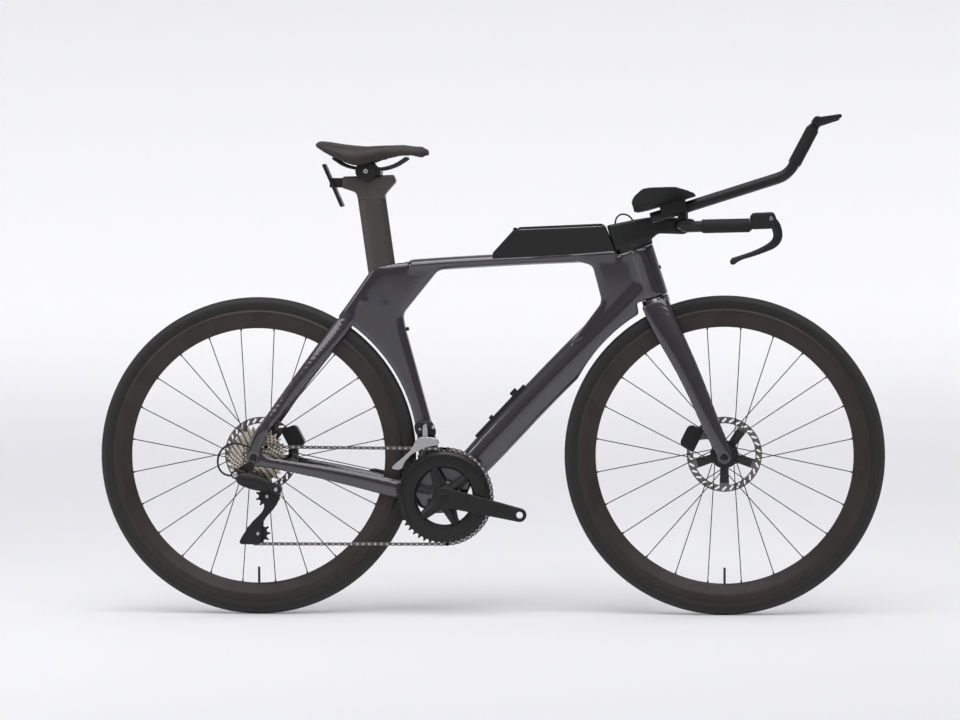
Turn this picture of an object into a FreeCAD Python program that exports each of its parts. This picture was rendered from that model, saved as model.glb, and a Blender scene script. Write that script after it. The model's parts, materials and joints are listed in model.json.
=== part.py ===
import FreeCAD, Part
import math
import os
from FreeCAD import Placement, Rotation, Vector

# A time trial bike with its drive side towards -Y.
# +X points forward, +Z up, and the origin is on the ground midway between the two axles.
# All lengths are millimetres and all angles are degrees.

SIZES = {
    "wheelbase": 993.0,
    "tyre_radius": 338.5,
    "tyre_width": 28.0,
    "rim_bed_radius": 311.0,
    "rim_nose_radius": 272.0,
    "rim_width": 27.0,
    "spoke_radius": 1.0,
    "spoke_count": 24,
    "front_spacing": 100.0,
    "rear_spacing": 142.0,
    "dropout_thickness": 7.5,
    "axle_radius": 6.0,
    "running_clearance": 0.05,
    "rotor_radius": 80.0,
    "rotor_thickness": 1.8,
    "front_rotor_line": 39.5,
    "rear_rotor_line": 55.7,
    "bb_setback": 402.0,
    "bb_drop": 84.0,
    "bb_shell_width": 86.0,
    "bb_bore_radius": 20.5,
    "bb_gusset_width": 60.0,
    "spindle_radius": 12.0,
    "crank_length": 165.0,
    "crank_angle": 13.3,
    "crank_thickness": 13.0,
    "pedal_thread_radius": 7.14,
    "chain_pitch": 12.7,
    "outer_ring_teeth": 50,
    "inner_ring_teeth": 34,
    "pulley_teeth": 11,
    "tooth_thickness": 1.6,
    "cog_spacing": 3.74,
    "cog_line": 65.0,
    "ring_line": 47.0,
    "ring_spacing": 7.0,
    "head_tilt": 17.5,
    "crown_setback": 146.0,
    "crown_height": 335.0,
    "head_length": 108.0,
    "head_tube_depth": 60.0,
    "head_tube_width": 54.0,
    "crown_room": 14.0,
    "steerer_radius": 14.3,
    "bearing_radius": 21.0,
    "bearing_height": 7.0,
    "top_tube_depth": 27.0,
    "top_tube_width": 42.0,
    "down_tube_depth": 70.0,
    "down_tube_width": 44.0,
    "gusset_width": 40.0,
    "seat_tube_width": 36.0,
    "seat_tube_round": 11.0,
    "wheel_clearance": 6.0,
    "tyre_side_gap": 3.0,
    "front_tyre_gap": 11.0,
    "stay_depth": 32.0,
    "stay_width": 16.0,
    "blade_depth": 54.0,
    "blade_width": 18.0,
    "post_depth": 60.0,
    "post_width": 28.0,
    "post_tilt": 7.8,
    "box_width": 40.0,
    "box_wall": 2.5,
    "bar_radius": 11.1,
    "grip_radius": 14.0,
    "bar_half_width": 200.0,
    "extension_half_spacing": 70.0,
    "arm_pad_half_spacing": 88.0,
    "arm_pad_thickness": 10.0,
    "lever_width": 12.0,
    "saddle_width": 132.0,
    "rail_radius": 3.5,
    "rail_half_spacing": 22.0,
}

COG_TEETH = (11, 12, 13, 14, 15, 17, 19, 21, 24, 27, 30)

doc = FreeCAD.newDocument("time_trial_bike")
sheet = doc.addObject("Spreadsheet::Sheet", "sizes")
for row, (name, value) in enumerate(SIZES.items(), start=1):
    sheet.set("A%d" % row, name)
    sheet.set("B%d" % row, str(value))
    sheet.setAlias("B%d" % row, name)
doc.recompute()


def size(name):
    return float(sheet.get(name))


REAR_X = -size("wheelbase") / 2
FRONT_X = size("wheelbase") / 2
AXLE_Z = size("tyre_radius")
RIGHT = -1
LEFT = 1


def rear(x, z, y=0.0):
    """A point given from the rear axle."""
    return Vector(REAR_X + x, y, AXLE_Z + z)


def front(x, z, y=0.0):
    """A point given from the front axle."""
    return Vector(FRONT_X + x, y, AXLE_Z + z)


BB = rear(size("bb_setback"), -size("bb_drop"))
STEER_UP = Vector(-math.sin(math.radians(size("head_tilt"))), 0, math.cos(math.radians(size("head_tilt"))))
STEER_AHEAD = Vector(STEER_UP.z, 0, -STEER_UP.x)
CROWN = front(-size("crown_setback"), size("crown_height"))

# The frame and the storage box stay outside this radius about the steering axis, the stem's tail inside it.
BOX_CLEARANCE = 52.5
TAIL_GAP = 1.5


def steering(up, ahead=0.0, y=0.0):
    """A point given along the steering axis from the crown, and ahead of it."""
    return CROWN + STEER_UP * up + STEER_AHEAD * ahead + Vector(0, y, 0)


NODES = []


def node(thing, label):
    """Gives a finished sub-part its name and lists it for export."""
    thing.Label = label
    NODES.append(thing)
    return thing


def feature(name, shape):
    thing = doc.addObject("Part::Feature", name)
    thing.Shape = shape
    return thing


def compound(name, things):
    group = doc.addObject("Part::Compound", name)
    group.Links = things
    return group


def mirrored(name, thing):
    """The same piece on the other side of the centre plane."""
    twin = doc.addObject("Part::Mirroring", name)
    twin.Source = thing
    twin.Normal = Vector(0, 1, 0)
    return twin


def pair(name, thing):
    return compound(name, [thing, mirrored(name + "_twin", thing)])


def fused(name, things):
    whole = doc.addObject("Part::MultiFuse", name)
    whole.Shapes = things
    return whole


def cut(name, base, tool):
    rest = doc.addObject("Part::Cut", name)
    rest.Base = base
    rest.Tool = tool
    return rest


def box(name, corner, length, width, height):
    thing = doc.addObject("Part::Box", name)
    thing.Length = length
    thing.Width = width
    thing.Height = height
    thing.Placement.Base = corner
    return thing


def rod(name, start, direction, radius, length):
    """A cylinder whose radius is an expression, from a point along a direction."""
    thing = doc.addObject("Part::Cylinder", name)
    thing.setExpression("Radius", str(radius))
    thing.Height = length
    thing.Placement = Placement(start, Rotation(Vector(0, 0, 1), direction))
    return thing


def ring(name, start, direction, inner, outer, length):
    """A tube between two radii, both given as expressions."""
    return cut(name, rod(name + "_outer", start, direction, outer, length),
               rod(name + "_bore", start, direction, inner, length))


def rounded(points):
    """A closed outline through corner points (x, z, radius), with tangent arcs at the corners."""
    corners = [Vector(point[0], point[1], 0) for point in points]
    radii = [point[2] if len(point) > 2 else 0 for point in points]
    starts, ends, middles = [], [], []
    for index, corner in enumerate(corners):
        before = (corners[index - 1] - corner).normalize()
        after = (corners[(index + 1) % len(corners)] - corner).normalize()
        half = before.getAngle(after) / 2
        reach = radii[index] / math.tan(half) if radii[index] else 0
        bisector = (before + after).normalize()
        starts.append(corner + before * reach)
        ends.append(corner + after * reach)
        middles.append(corner + bisector * (radii[index] / math.sin(half) - radii[index]))
    edges = []
    for index in range(len(corners)):
        if radii[index]:
            edges.append(Part.Arc(starts[index], middles[index], ends[index]))
        following = starts[(index + 1) % len(corners)]
        if (following - ends[index]).Length > 1e-6:
            edges.append(Part.LineSegment(ends[index], following))
    return edges


def circle(x, z, radius):
    return [Part.Circle(Vector(x, z, 0), Vector(0, 0, 1), radius)]


def body(name, base=Vector(), turn=Rotation()):
    thing = doc.addObject("PartDesign::Body", name)
    thing.Placement = Placement(base, turn)
    return thing


def sketch(owner, outlines, plane="XZ_Plane"):
    """A sketch on one of the body's own planes that holds closed outlines."""
    drawing = owner.newObject("Sketcher::SketchObject", owner.Name + "_sketch")
    support = [item for item in owner.Origin.OriginFeatures if item.Role == plane][0]
    drawing.AttachmentSupport = [(support, "")]
    drawing.MapMode = "FlatFace"
    for outline in outlines:
        drawing.addGeometry([edge for edge in outline], False)
    return drawing


def pad(owner, outlines, length, plane="XZ_Plane"):
    """A pad to both sides of the plane, with its length as an expression."""
    drawing = sketch(owner, outlines, plane)
    grown = owner.newObject("PartDesign::Pad", owner.Name + "_pad")
    grown.Profile = drawing
    grown.Midplane = True
    grown.setExpression("Length", str(length))
    drawing.Visibility = False
    return grown


def pocket(owner, outlines, plane="XZ_Plane"):
    """A hole through the whole body, square to the plane."""
    drawing = sketch(owner, outlines, plane)
    hole = owner.newObject("PartDesign::Pocket", owner.Name + "_pocket")
    hole.Profile = drawing
    hole.Midplane = True
    hole.Type = "ThroughAll"
    return hole


def around(owner, hole, count):
    """Repeats a pocket round the body's Y axis."""
    axis = [item for item in owner.Origin.OriginFeatures if item.Role == "Y_Axis"][0]
    pattern = owner.newObject("PartDesign::PolarPattern", owner.Name + "_pattern")
    pattern.Originals = [hole]
    pattern.Axis = (axis, [""])
    pattern.Angle = 360
    pattern.Occurrences = int(count)
    owner.Tip = pattern
    return pattern


def turned(name, outline, base, label=None, turn=Rotation()):
    """A solid of revolution about the Y axis, from points (y, radius)."""
    owner = body(name, base, turn)
    drawing = sketch(owner, [rounded([(radius, y, *rest) for y, radius, *rest in outline])], "XY_Plane")
    spun = owner.newObject("PartDesign::Revolution", name + "_turn")
    spun.Profile = drawing
    spun.ReferenceAxis = (drawing, ["V_Axis"])
    spun.Angle = 360
    return node(owner, label) if label else owner


def soften(owner, base_feature, radius, picks):
    """Rounds the picked edges of a body's last feature."""
    doc.recompute()
    names = ["Edge%d" % (i + 1) for i, edge in enumerate(base_feature.Shape.Edges) if picks(edge)]
    rounding = owner.newObject("PartDesign::Fillet", owner.Name + "_fillet")
    rounding.Base = (base_feature, names)
    rounding.setExpression("Radius", str(radius))
    return rounding


def flat_in_y(edge):
    """An edge that lies in one plane across the Y axis."""
    return edge.BoundBox.YLength < 1e-4


def oval(name, centre, along, depth, width):
    """An elliptical section: depth in the side view, width across (or fore and aft on a cross bar)."""
    aside = Vector(1, 0, 0) if abs(along.y) > 0.9 else Vector(0, 1, 0)
    across = (aside - along * along.dot(aside)).normalize()
    upright = across.cross(along).normalize()
    section = doc.addObject("Part::Ellipse", name)
    deep = depth[1] * size(depth[0]) >= width[1] * size(width[0])
    major, minor = (depth, width) if deep else (width, depth)
    first, second = (upright, along.cross(upright)) if deep else (across, along.cross(across))
    section.setExpression("MajorRadius", "sizes.%s * %s / 2" % major)
    section.setExpression("MinorRadius", "sizes.%s * %s / 2" % minor)
    section.Placement = Placement(centre, Rotation(first, second, along, "ZXY"))
    return section


def tube(name, stations):
    """A lofted tube through elliptical stations (centre, depth, width)."""
    centres = [station[0] for station in stations]
    sections = []
    for index, (centre, depth, width) in enumerate(stations):
        before = centres[max(index - 1, 0)]
        after = centres[min(index + 1, len(centres) - 1)]
        along = (after - before).normalize()
        sections.append(oval("%s_section_%d" % (name, index), centre, along, depth, width))
    loft = doc.addObject("Part::Loft", name)
    loft.Sections = sections
    loft.Solid = True
    return loft


def bent_path(points, share=0.45):
    """Straight runs joined by tangent arcs, each over a share of the shorter run, and the arcs' radii."""
    edges = []
    radii = []
    start = points[0]
    for before, corner, after in zip(points, points[1:], points[2:]):
        into = (before - corner).normalize()
        out = (after - corner).normalize()
        reach = share * min((before - corner).Length, (after - corner).Length)
        half = into.getAngle(out) / 2
        radius = reach * math.tan(half)
        middle = corner + (into + out).normalize() * (radius / math.sin(half) - radius)
        if (corner + into * reach - start).Length > 1e-6:
            edges.append(Part.LineSegment(start, corner + into * reach).toShape())
        edges.append(Part.Arc(corner + into * reach, middle, corner + out * reach).toShape())
        radii.append(radius)
        start = corner + out * reach
    edges.append(Part.LineSegment(start, points[-1]).toShape())
    return Part.Wire(edges), radii


def pipe(name, points, radius, share=0.45):
    """A round tube along straight runs and tangent arcs."""
    path, radii = bent_path(points, share)
    print(name, "bend radii", [round(bend, 1) for bend in radii], "length", round(path.Length, 1))
    along = (points[1] - points[0]).normalize()
    profile = Part.Wire([Part.Circle(points[0], along, radius).toShape()])
    return feature(name, path.makePipeShell([profile], True, False))


# Toothed wheels and chain

def pitch_radius(teeth):
    return size("chain_pitch") / 2 / math.sin(math.pi / teeth)


TOOTH_TIP = 3.0
TOOTH_ROOT = 3.6


def toothed_outline(teeth):
    """Tooth outline with a flat tip and a flat root for each tooth."""
    tip = pitch_radius(teeth) + TOOTH_TIP
    root = pitch_radius(teeth) - TOOTH_ROOT
    step = 2 * math.pi / teeth
    marks = ((root, -0.30), (tip, -0.09), (tip, 0.09), (root, 0.30))
    points = []
    for tooth in range(int(teeth)):
        for radius, share in marks:
            angle = step * (tooth + share)
            points.append(Vector(radius * math.cos(angle), 0, radius * math.sin(angle)))
    return points


def toothed_wheel(centre, teeth, bore, thickness=None):
    """A toothed disc round the Y axis with a round hole."""
    thickness = thickness or size("tooth_thickness")
    points = toothed_outline(teeth)
    face = Part.Face(Part.makePolygon(points + points[:1]))
    disc = face.extrude(Vector(0, thickness, 0))
    disc = disc.cut(Part.makeCylinder(bore, thickness, Vector(), Vector(0, 1, 0)))
    return disc.translated(centre - Vector(0, thickness / 2, 0))


def tangent(first, first_radius, first_way, second, second_radius, second_way):
    """End points of a belt's straight run between two wheels; way is 1 for anticlockwise."""
    gap = second - first
    heading = math.atan2(gap.z, gap.x)
    reach = second_radius * second_way - first_radius * first_way
    heading -= math.asin(reach / math.hypot(gap.x, gap.z))
    side = Vector(-math.sin(heading), 0, math.cos(heading))
    return first - side * (first_radius * first_way), second - side * (second_radius * second_way)


CHAIN_HALF_HEIGHT = 3.8
PLATE_INNER = 1.15
PLATE_OUTER = 2.45


def angle_of(point, centre):
    return math.degrees(math.atan2(point.z - centre.z, point.x - centre.x))


def chain_wrap(centre, radius, start, end, way):
    """Two rows of side plates round part of a toothed wheel."""
    first = angle_of(start if way > 0 else end, centre)
    sweep = (angle_of(end if way > 0 else start, centre) - first) % 360
    rows = []
    for offset in (PLATE_INNER, -PLATE_OUTER):
        section = Part.makePlane(2 * CHAIN_HALF_HEIGHT, PLATE_OUTER - PLATE_INNER,
                                 Vector(radius - CHAIN_HALF_HEIGHT, offset, 0), Vector(0, 0, 1))
        row = section.revolve(Vector(), Vector(0, -1, 0), sweep)
        row.rotate(Vector(), Vector(0, -1, 0), first)
        rows.append(row.translated(centre))
    return rows


def chain_bar(start, end, rows):
    """A straight stretch of chain: rows gives the (low, high) side offsets that are solid."""
    gap = 0.4
    along = (end - start).normalize()
    across = (Vector(0, 1, 0) - along * along.y).normalize()
    turn = Rotation(along, across, along.cross(across), "ZXY")
    bars = []
    for low, high in rows:
        bar = Part.makeBox((end - start).Length - 2 * gap, high - low, 2 * CHAIN_HALF_HEIGHT,
                           Vector(gap, low, -CHAIN_HALF_HEIGHT))
        bar.Placement = Placement(start, turn)
        bars.append(bar)
    return bars


def chain_run(start, start_radius, end, end_radius):
    """A free run: only side plates while the teeth still reach it, then a solid bar between."""
    sides = ((PLATE_INNER, PLATE_OUTER), (-PLATE_OUTER, -PLATE_INNER))
    flat = Vector(end.x - start.x, 0, end.z - start.z).normalize()
    leave = start + flat * tooth_reach(start_radius)
    arrive = end - flat * tooth_reach(end_radius)
    return (chain_bar(start, leave, sides) + chain_bar(leave, arrive, ((-PLATE_OUTER, PLATE_OUTER),))
            + chain_bar(arrive, end, sides))


def tooth_reach(radius):
    """How far along a tangent run the tooth tips still reach into the chain."""
    tip, inside = radius + TOOTH_TIP + 0.6, radius - CHAIN_HALF_HEIGHT
    return math.sqrt(tip * tip - inside * inside)


def arm_outline(first, first_radius, second, second_radius):
    """Two round ends joined by straight flanks, in side-view coordinates."""
    near = Vector(first[0], 0, first[1])
    far = Vector(second[0], 0, second[1])
    out = (far - near).normalize()
    lower = tangent(near, first_radius, 1, far, second_radius, 1)
    upper = tangent(far, second_radius, 1, near, first_radius, 1)

    def flat(point):
        return Vector(point.x, point.z, 0)

    return [Part.LineSegment(flat(lower[0]), flat(lower[1])),
            Part.Arc(flat(lower[1]), flat(far + out * second_radius), flat(upper[0])),
            Part.LineSegment(flat(upper[0]), flat(upper[1])),
            Part.Arc(flat(upper[1]), flat(near - out * first_radius), flat(lower[0]))]


def plate(name, base, outlines, thickness, turn=Rotation()):
    """A flat piece in the side view, its middle plane through the base point."""
    owner = body(name, base, turn)
    pad(owner, outlines, thickness)
    return owner


# Frame

CALIPER_OUT = 13.0
LUG_THICKNESS = 4.4
POST_DOWN = Vector(math.sin(math.radians(size("post_tilt"))), 0, -math.cos(math.radians(size("post_tilt"))))
POST_POINT = rear(260, 450)


def post_at(height, y=0.0):
    """A point on the seatpost's axis at a height above the axles."""
    return POST_POINT + POST_DOWN * ((450 - height) / -POST_DOWN.z) + Vector(0, y, 0)


def make_seat_tube():
    """Seat tube and seat cluster, with a rear edge that follows the wheel."""
    owner = body("seat_tube", rear(0, 0))
    outline = [(150, 262), (252, 406, 25), (420, 422), (420, 397), (388, 394, 25), (313, 302, 22),
               (318, 272, 15), (374, 66), (414, -84), (384, -84), (347, 0), (300, 60)]
    pad(owner, [rounded(outline)], "sizes.seat_tube_width")
    reach = size("tyre_radius") + size("wheel_clearance")
    slot = pocket(owner, [circle(0, 0, reach)])
    wheel_side = Vector(REAR_X, 0, AXLE_Z)

    def outer_edge(edge):
        middle = edge.CenterOfMass - wheel_side
        far = math.hypot(middle.x, middle.z) > reach + 1
        return flat_in_y(edge) and far and middle.z > 20

    soften(owner, slot, "sizes.seat_tube_round", outer_edge)
    return owner


def make_frame():
    whole = ("top_tube_depth", 1.0), ("top_tube_width", 1.0)
    top = tube("top_tube", [(rear(330, 404), *whole), (rear(568, 417.5), *whole),
                            (front(-290, 424.5), ("top_tube_depth", 1.15), ("top_tube_width", 1.0)),
                            (front(-185, 431), ("top_tube_depth", 1.5), ("top_tube_width", 1.05))])
    deep, wide = "down_tube_depth", "down_tube_width"
    down = tube("down_tube", [(rear(400, -80), (deep, 0.72), (wide, 1.0)),
                              (rear(484, 6), (deep, 0.98), (wide, 1.0)),
                              (rear(628, 157), (deep, 1.0), (wide, 1.0)),
                              (front(-248, 272), (deep, 1.05), (wide, 1.0)),
                              (front(-166, 352), (deep, 0.95), (wide, 1.05))])
    head = tube("head_tube", [(steering(size("head_length") * share), ("head_tube_depth", 1.0),
                               ("head_tube_width", 1.0)) for share in (0.0, 0.5, 1.0)])
    shell = rod("bb_shell", BB - Vector(0, size("bb_shell_width") / 2, 0), Vector(0, 1, 0),
                "sizes.bb_bore_radius + 4.5", size("bb_shell_width"))
    corner = [(-322, 240), (-257, 326, 26), (-277, 403, 16), (-312, 413), (-190, 436), (-160, 352),
              (-200, 300)]
    gusset = plate("head_gusset", front(0, 0), [rounded(corner)], "sizes.gusset_width")
    corner = [(340, -50), (374, 2, 20), (412, -14, 25), (452, 0, 20), (472, -30, 20), (432, -118, 30),
              (380, -122, 25), (338, -104, 20)]
    joint = plate("bb_gusset", rear(0, 0), [rounded(corner)], "sizes.bb_gusset_width")
    solid = fused("frame_solid", [top, down, head, shell, gusset, joint, make_seat_tube()])

    long = size("head_length")
    bearing = "sizes.bearing_radius"
    tall = size("bearing_height")
    bores = [rod("steerer_bore", steering(-40), STEER_UP, "sizes.steerer_radius + 2", long + 120),
             rod("lower_seat", steering(-40), STEER_UP, bearing, 40 + tall),
             rod("upper_seat", steering(long - tall), STEER_UP, bearing, 60),
             rod("bb_bore", BB - Vector(0, 100, 0), Vector(0, 1, 0), "sizes.bb_bore_radius", 200)]
    post = tube("post_bore", [(post_at(height), ("post_depth", 1.0017), ("post_width", 1.0036))
                              for height in (470, 326)])
    wedge = box("wedge_seat", rear(290, 376, -9), 26, 18, 60)
    crown = rod("crown_room", steering(-80), STEER_UP, "sizes.head_tube_depth / 2 + sizes.crown_room", 80)
    cap = box("cover_face", Vector(), 160, 120, 60)
    cap.Placement = Placement(steering(long), Rotation(Vector(0, 0, 1), STEER_UP)).multiply(
        Placement(Vector(-48, -60, 0), Rotation()))
    sweep = rod("tail_sweep", steering(long), STEER_UP, BOX_CLEARANCE, 60)
    tyre = rod("front_tyre_room", front(0, 0, -60), Vector(0, 1, 0),
               "sizes.tyre_radius + sizes.front_tyre_gap", 120)
    tools = fused("frame_bores", bores + [post, wedge, crown, cap, sweep, tyre])
    return node(cut("frame_cut", solid, tools), "frame")


def make_stays(frame):
    """Seatstay, chainstay and dropout on each side, trimmed where they meet the frame."""
    deep, wide = "stay_depth", "stay_width"
    inner = size("rear_spacing") / 2
    outer = inner + size("dropout_thickness")
    middle = (inner + outer) / 2
    sides = []
    for side, word in ((RIGHT, "right"), (LEFT, "left")):
        seat = tube("seatstay_" + word, [(rear(227, 331, side * 12), (deep, 1.3), (wide, 0.9)),
                                         (rear(150, 235, side * 30), (deep, 1.05), (wide, 1.0)),
                                         (rear(95, 163, side * 50), (deep, 0.86), (wide, 0.9)),
                                         (rear(55, 108, side * 62), (deep, 0.8), (wide, 0.7)),
                                         (rear(21, 62, side * (middle - 1)), (deep, 0.74), (wide, 0.5)),
                                         (rear(4, 36, side * middle), (deep, 0.72), (wide, 0.45)),
                                         (rear(-1, 6, side * middle), (deep, 0.85), (wide, 0.45))])
        chain = tube("chainstay_" + word, [(rear(2, -4, side * middle), (deep, 0.75), (wide, 0.45)),
                                           (rear(82, -20, side * 71), (deep, 0.8), (wide, 0.55)),
                                           (rear(180, -40, side * 48), (deep, 1.02), (wide, 0.95)),
                                           (rear(295, -68, side * 29), (deep, 1.24), (wide, 1.0)),
                                           (rear(372, -84, side * 22), (deep, 1.3), (wide, 1.3))])
        web = plate("dropout_web_" + word, rear(0, 0, side * middle),
                    [rounded([(-16, 6), (8, 62), (34, 62), (12, 14, 16), (42, -4), (44, -24), (-4, -18)])],
                    "sizes.dropout_thickness")
        drop = rod("dropout_" + word, rear(0, 0, side * inner), Vector(0, side, 0), 16,
                   size("dropout_thickness"))
        pieces = [seat, chain, web, drop]
        if side == LEFT:
            lug_line = size("rear_rotor_line") + CALIPER_OUT + LUG_THICKNESS / 2
            pieces.append(plate("rear_caliper_lug", rear(0, 0, lug_line),
                                [arm_outline((64, -8), 10, (70, 34), 12)], LUG_THICKNESS))
        solid = fused("stay_solid_" + word, pieces)
        hole = rod("axle_hole_" + word, rear(0, 0, -200), Vector(0, 1, 0), "sizes.axle_radius", 400)
        wheel = rod("hub_space_" + word, rear(0, 0, -inner), Vector(0, 1, 0), 40, 2 * inner)
        face = rod("spot_face_" + word, rear(0, 0, side * outer), Vector(0, side, 0), 12, 20)
        room = size("tyre_width") / 2 + size("tyre_side_gap")
        tyre = rod("tyre_room_" + word, rear(0, 0, -room), Vector(0, 1, 0),
                   "sizes.tyre_radius + sizes.wheel_clearance", 2 * room)
        open_stay = cut("stay_bored_" + word, solid, fused("stay_tools_" + word, [hole, wheel, face, tyre]))
        sides.append(cut("stay_" + word, open_stay, frame))
    return node(compound("stays", sides), "rear_stays")


def make_bearings():
    """Headset bearings and bottom bracket cups."""
    tall = size("bearing_height")
    slip = "sizes.steerer_radius + sizes.running_clearance"
    parts = [ring("headset_bearing_%d" % up, steering(up), STEER_UP, slip, "sizes.bearing_radius", tall)
             for up in (0, size("head_length") - tall)]
    half = size("bb_shell_width") / 2
    for side, word in ((RIGHT, "right"), (LEFT, "left")):
        slip = "sizes.spindle_radius + sizes.running_clearance"
        out = Vector(0, side, 0)
        inside = ring("bb_bearing_" + word, BB + out * (half - 9), out, slip, "sizes.bb_bore_radius", 9)
        flange = ring("bb_flange_" + word, BB + out * half, out, slip, "sizes.bb_bore_radius + 2", 2.5)
        parts.append(fused("bb_cup_" + word, [inside, flange]))
    return node(compound("bearings", parts), "frame_bearings")


# Wheels

def make_wheel(word, base, hub_outline, flanges, rotor_line):
    """Rim, tyre, spokes, hub and disc rotor of one wheel."""
    bed, nose = size("rim_bed_radius"), size("rim_nose_radius")
    half = size("rim_width") / 2
    seat = half - 2.0
    rim_outline = [(-seat, bed), (-half, bed - 4, 2), (-half, bed - 14, 20), (-4, nose, 5), (4, nose, 5),
                   (half, bed - 14, 20), (half, bed - 4, 2), (seat, bed)]
    rim = turned(word + "_hoop", rim_outline, base)
    valve = rod(word + "_valve", base + Vector(0, 0, -nose - 2), Vector(0, 0, 1), 2.6, 36)
    valve = cut(word + "_valve_stem", valve, rim)
    node(compound(word + "_rim_set", [rim, valve]), word + "_rim")

    tip, wide = size("tyre_radius"), size("tyre_width") / 2
    belly = bed + (tip - bed) * 0.5
    tyre_outline = [(-seat, bed), (-wide, belly - 5, 5), (-wide, belly + 3, 10), (-6, tip, 12), (6, tip, 12),
                    (wide, belly + 3, 10), (wide, belly - 5, 5), (seat, bed)]
    joint_at_valve = Rotation(Vector(0, 1, 0), 90)
    turned(word + "_tyre", tyre_outline, base, word + "_tyre", joint_at_valve)

    hub = turned(word + "_hub", hub_outline, base, word + "_hub")
    make_spokes(word, base, flanges, rim, hub)
    make_rotor(word, base + Vector(0, rotor_line, 0))


FLANGE_RADIUS = 24.0


def make_spokes(word, base, flanges, rim, hub):
    """Crossed spokes, alternating between the two flanges round the rim."""
    count = int(size("spoke_count"))
    nose = size("rim_nose_radius")
    lead = 2 * 360 / (count / 2)
    wires = []
    for index in range(count):
        rim_angle = 7.5 + index * 360 / count
        flange = flanges[index % 2]
        way = 1 if (index // 2) % 2 else -1
        hub_angle = rim_angle + way * lead
        inner = Vector(math.cos(math.radians(hub_angle)), 0, math.sin(math.radians(hub_angle)))
        outer = Vector(math.cos(math.radians(rim_angle)), 0, math.sin(math.radians(rim_angle)))
        start = base + inner * (FLANGE_RADIUS - 2.5) + Vector(0, flange + 1.7 * way, 0)
        end = base + outer * (nose + 3) + Vector(0, math.copysign(1.5, flange), 0)
        wires.append(rod("%s_spoke_%d" % (word, index), start, end - start, "sizes.spoke_radius",
                         (end - start).Length))
    bundle = compound(word + "_spoke_bundle", wires)
    ends = compound(word + "_spoke_ends", [rim, hub])
    return node(cut(word + "_spoke_set", bundle, ends), word + "_spokes")


def make_rotor(word, centre):
    """A slotted disc on five arms, with its lockring."""
    owner = body(word + "_disc", centre)
    track = size("rotor_radius") - 14
    pad(owner, [circle(0, 0, size("rotor_radius")), circle(0, 0, 16)], "sizes.rotor_thickness")
    doc.recompute()
    arms = 5
    half = 180 / arms - 9
    corners = []
    for radius, angle in ((track, -half), (track, half), (30, half - 8), (30, -half + 8)):
        turn = math.radians(90 + angle)
        corners.append(Vector(radius * math.cos(turn), radius * math.sin(turn), 0))
    window = [Part.Arc(corners[0], Vector(0, track, 0), corners[1]), Part.LineSegment(corners[1], corners[2]),
              Part.Arc(corners[2], Vector(0, 30, 0), corners[3]), Part.LineSegment(corners[3], corners[0])]
    around(owner, pocket(owner, [window]), arms)
    doc.recompute()
    vent = arm_outline((-3, size("rotor_radius") - 10), 2, (3, size("rotor_radius") - 4.5), 2)
    around(owner, pocket(owner, [vent]), 30)
    lock = ring(word + "_lockring", centre + Vector(0, size("rotor_thickness") / 2, 0), Vector(0, 1, 0),
                16, 20, 2.4)
    return node(compound(word + "_rotor_set", [owner, lock]), word + "_rotor")


def make_wheels():
    slip = size("axle_radius") + size("running_clearance")
    half, line = size("front_spacing") / 2, size("front_rotor_line")
    seat = line - size("rotor_thickness") / 2
    rim = FLANGE_RADIUS
    outline = [(-half, slip), (-half, 9.5), (-40, 9.5), (-38, rim), (-31, rim), (-29, 13), (20, 12),
               (22, rim), (29, rim), (31, 19), (seat, 19), (seat, 16), (seat + 5, 16), (seat + 5, 9.5),
               (half, 9.5), (half, slip)]
    make_wheel("front", front(0, 0), outline, (-34.5, 25.5), line)
    half, line = size("rear_spacing") / 2, size("rear_rotor_line")
    seat = line - size("rotor_thickness") / 2
    outline = [(-half, slip), (-half, 9), (-23, 9), (-23, 16), (-22, rim), (-15, rim), (-13, 14), (27, 13),
               (29, rim), (36, rim), (38, 19), (seat, 19), (seat, 16), (seat + 5, 16), (seat + 5, 9.5),
               (half, 9.5), (half, slip)]
    make_wheel("rear", rear(0, 0), outline, (-18.5, 32.5), line)


def make_axle(word, base, spacing, label):
    """A thru-axle with a low round head on the left."""
    reach = spacing / 2 + size("dropout_thickness")
    shaft = rod(word + "_shaft", base - Vector(0, reach, 0), Vector(0, 1, 0), "sizes.axle_radius", 2 * reach)
    head = rod(word + "_shaft_head", base + Vector(0, reach, 0), Vector(0, 1, 0), "sizes.axle_radius + 3", 3)
    return node(fused(word + "_axle", [shaft, head]), label)


# Drive train

def make_cassette():
    """Sprockets on the freehub, the smallest outermost, and the lockring."""
    axle = rear(0, 0)
    slip = "sizes.axle_radius + 3 + sizes.running_clearance"
    barrel = 17.0
    first = -size("cog_line")
    cogs = []
    for index, teeth in enumerate(COG_TEETH):
        place = axle + Vector(0, first + index * size("cog_spacing"), 0)
        cogs.append(toothed_wheel(place, teeth, barrel))
    half = size("tooth_thickness") / 2
    depth = (len(COG_TEETH) - 1) * size("cog_spacing")
    spacer = Part.makeCylinder(18.4, depth, axle + Vector(0, first, 0), Vector(0, 1, 0))
    spacer = spacer.cut(Part.makeCylinder(barrel, depth, axle + Vector(0, first, 0), Vector(0, 1, 0)))
    stack = feature("sprocket_stack", spacer.fuse(cogs))
    freehub = ring("freehub", axle + Vector(0, first - half, 0), Vector(0, 1, 0), slip, barrel, depth + 3)
    lockring = ring("cassette_lockring", axle + Vector(0, first - half, 0), Vector(0, -1, 0), slip, 18.4, 1.6)
    return node(compound("cassette_set", [stack, freehub, lockring]), "cassette")


RING_BOLT_RADIUS = 55.0
RING_BOLT = 4.0
SPIDER_ANGLES = (53.5, 123.0, -123.0, -53.5)
SPIDER_FACE = 49.0
ARM_MIDDLE = 64.5


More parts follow.
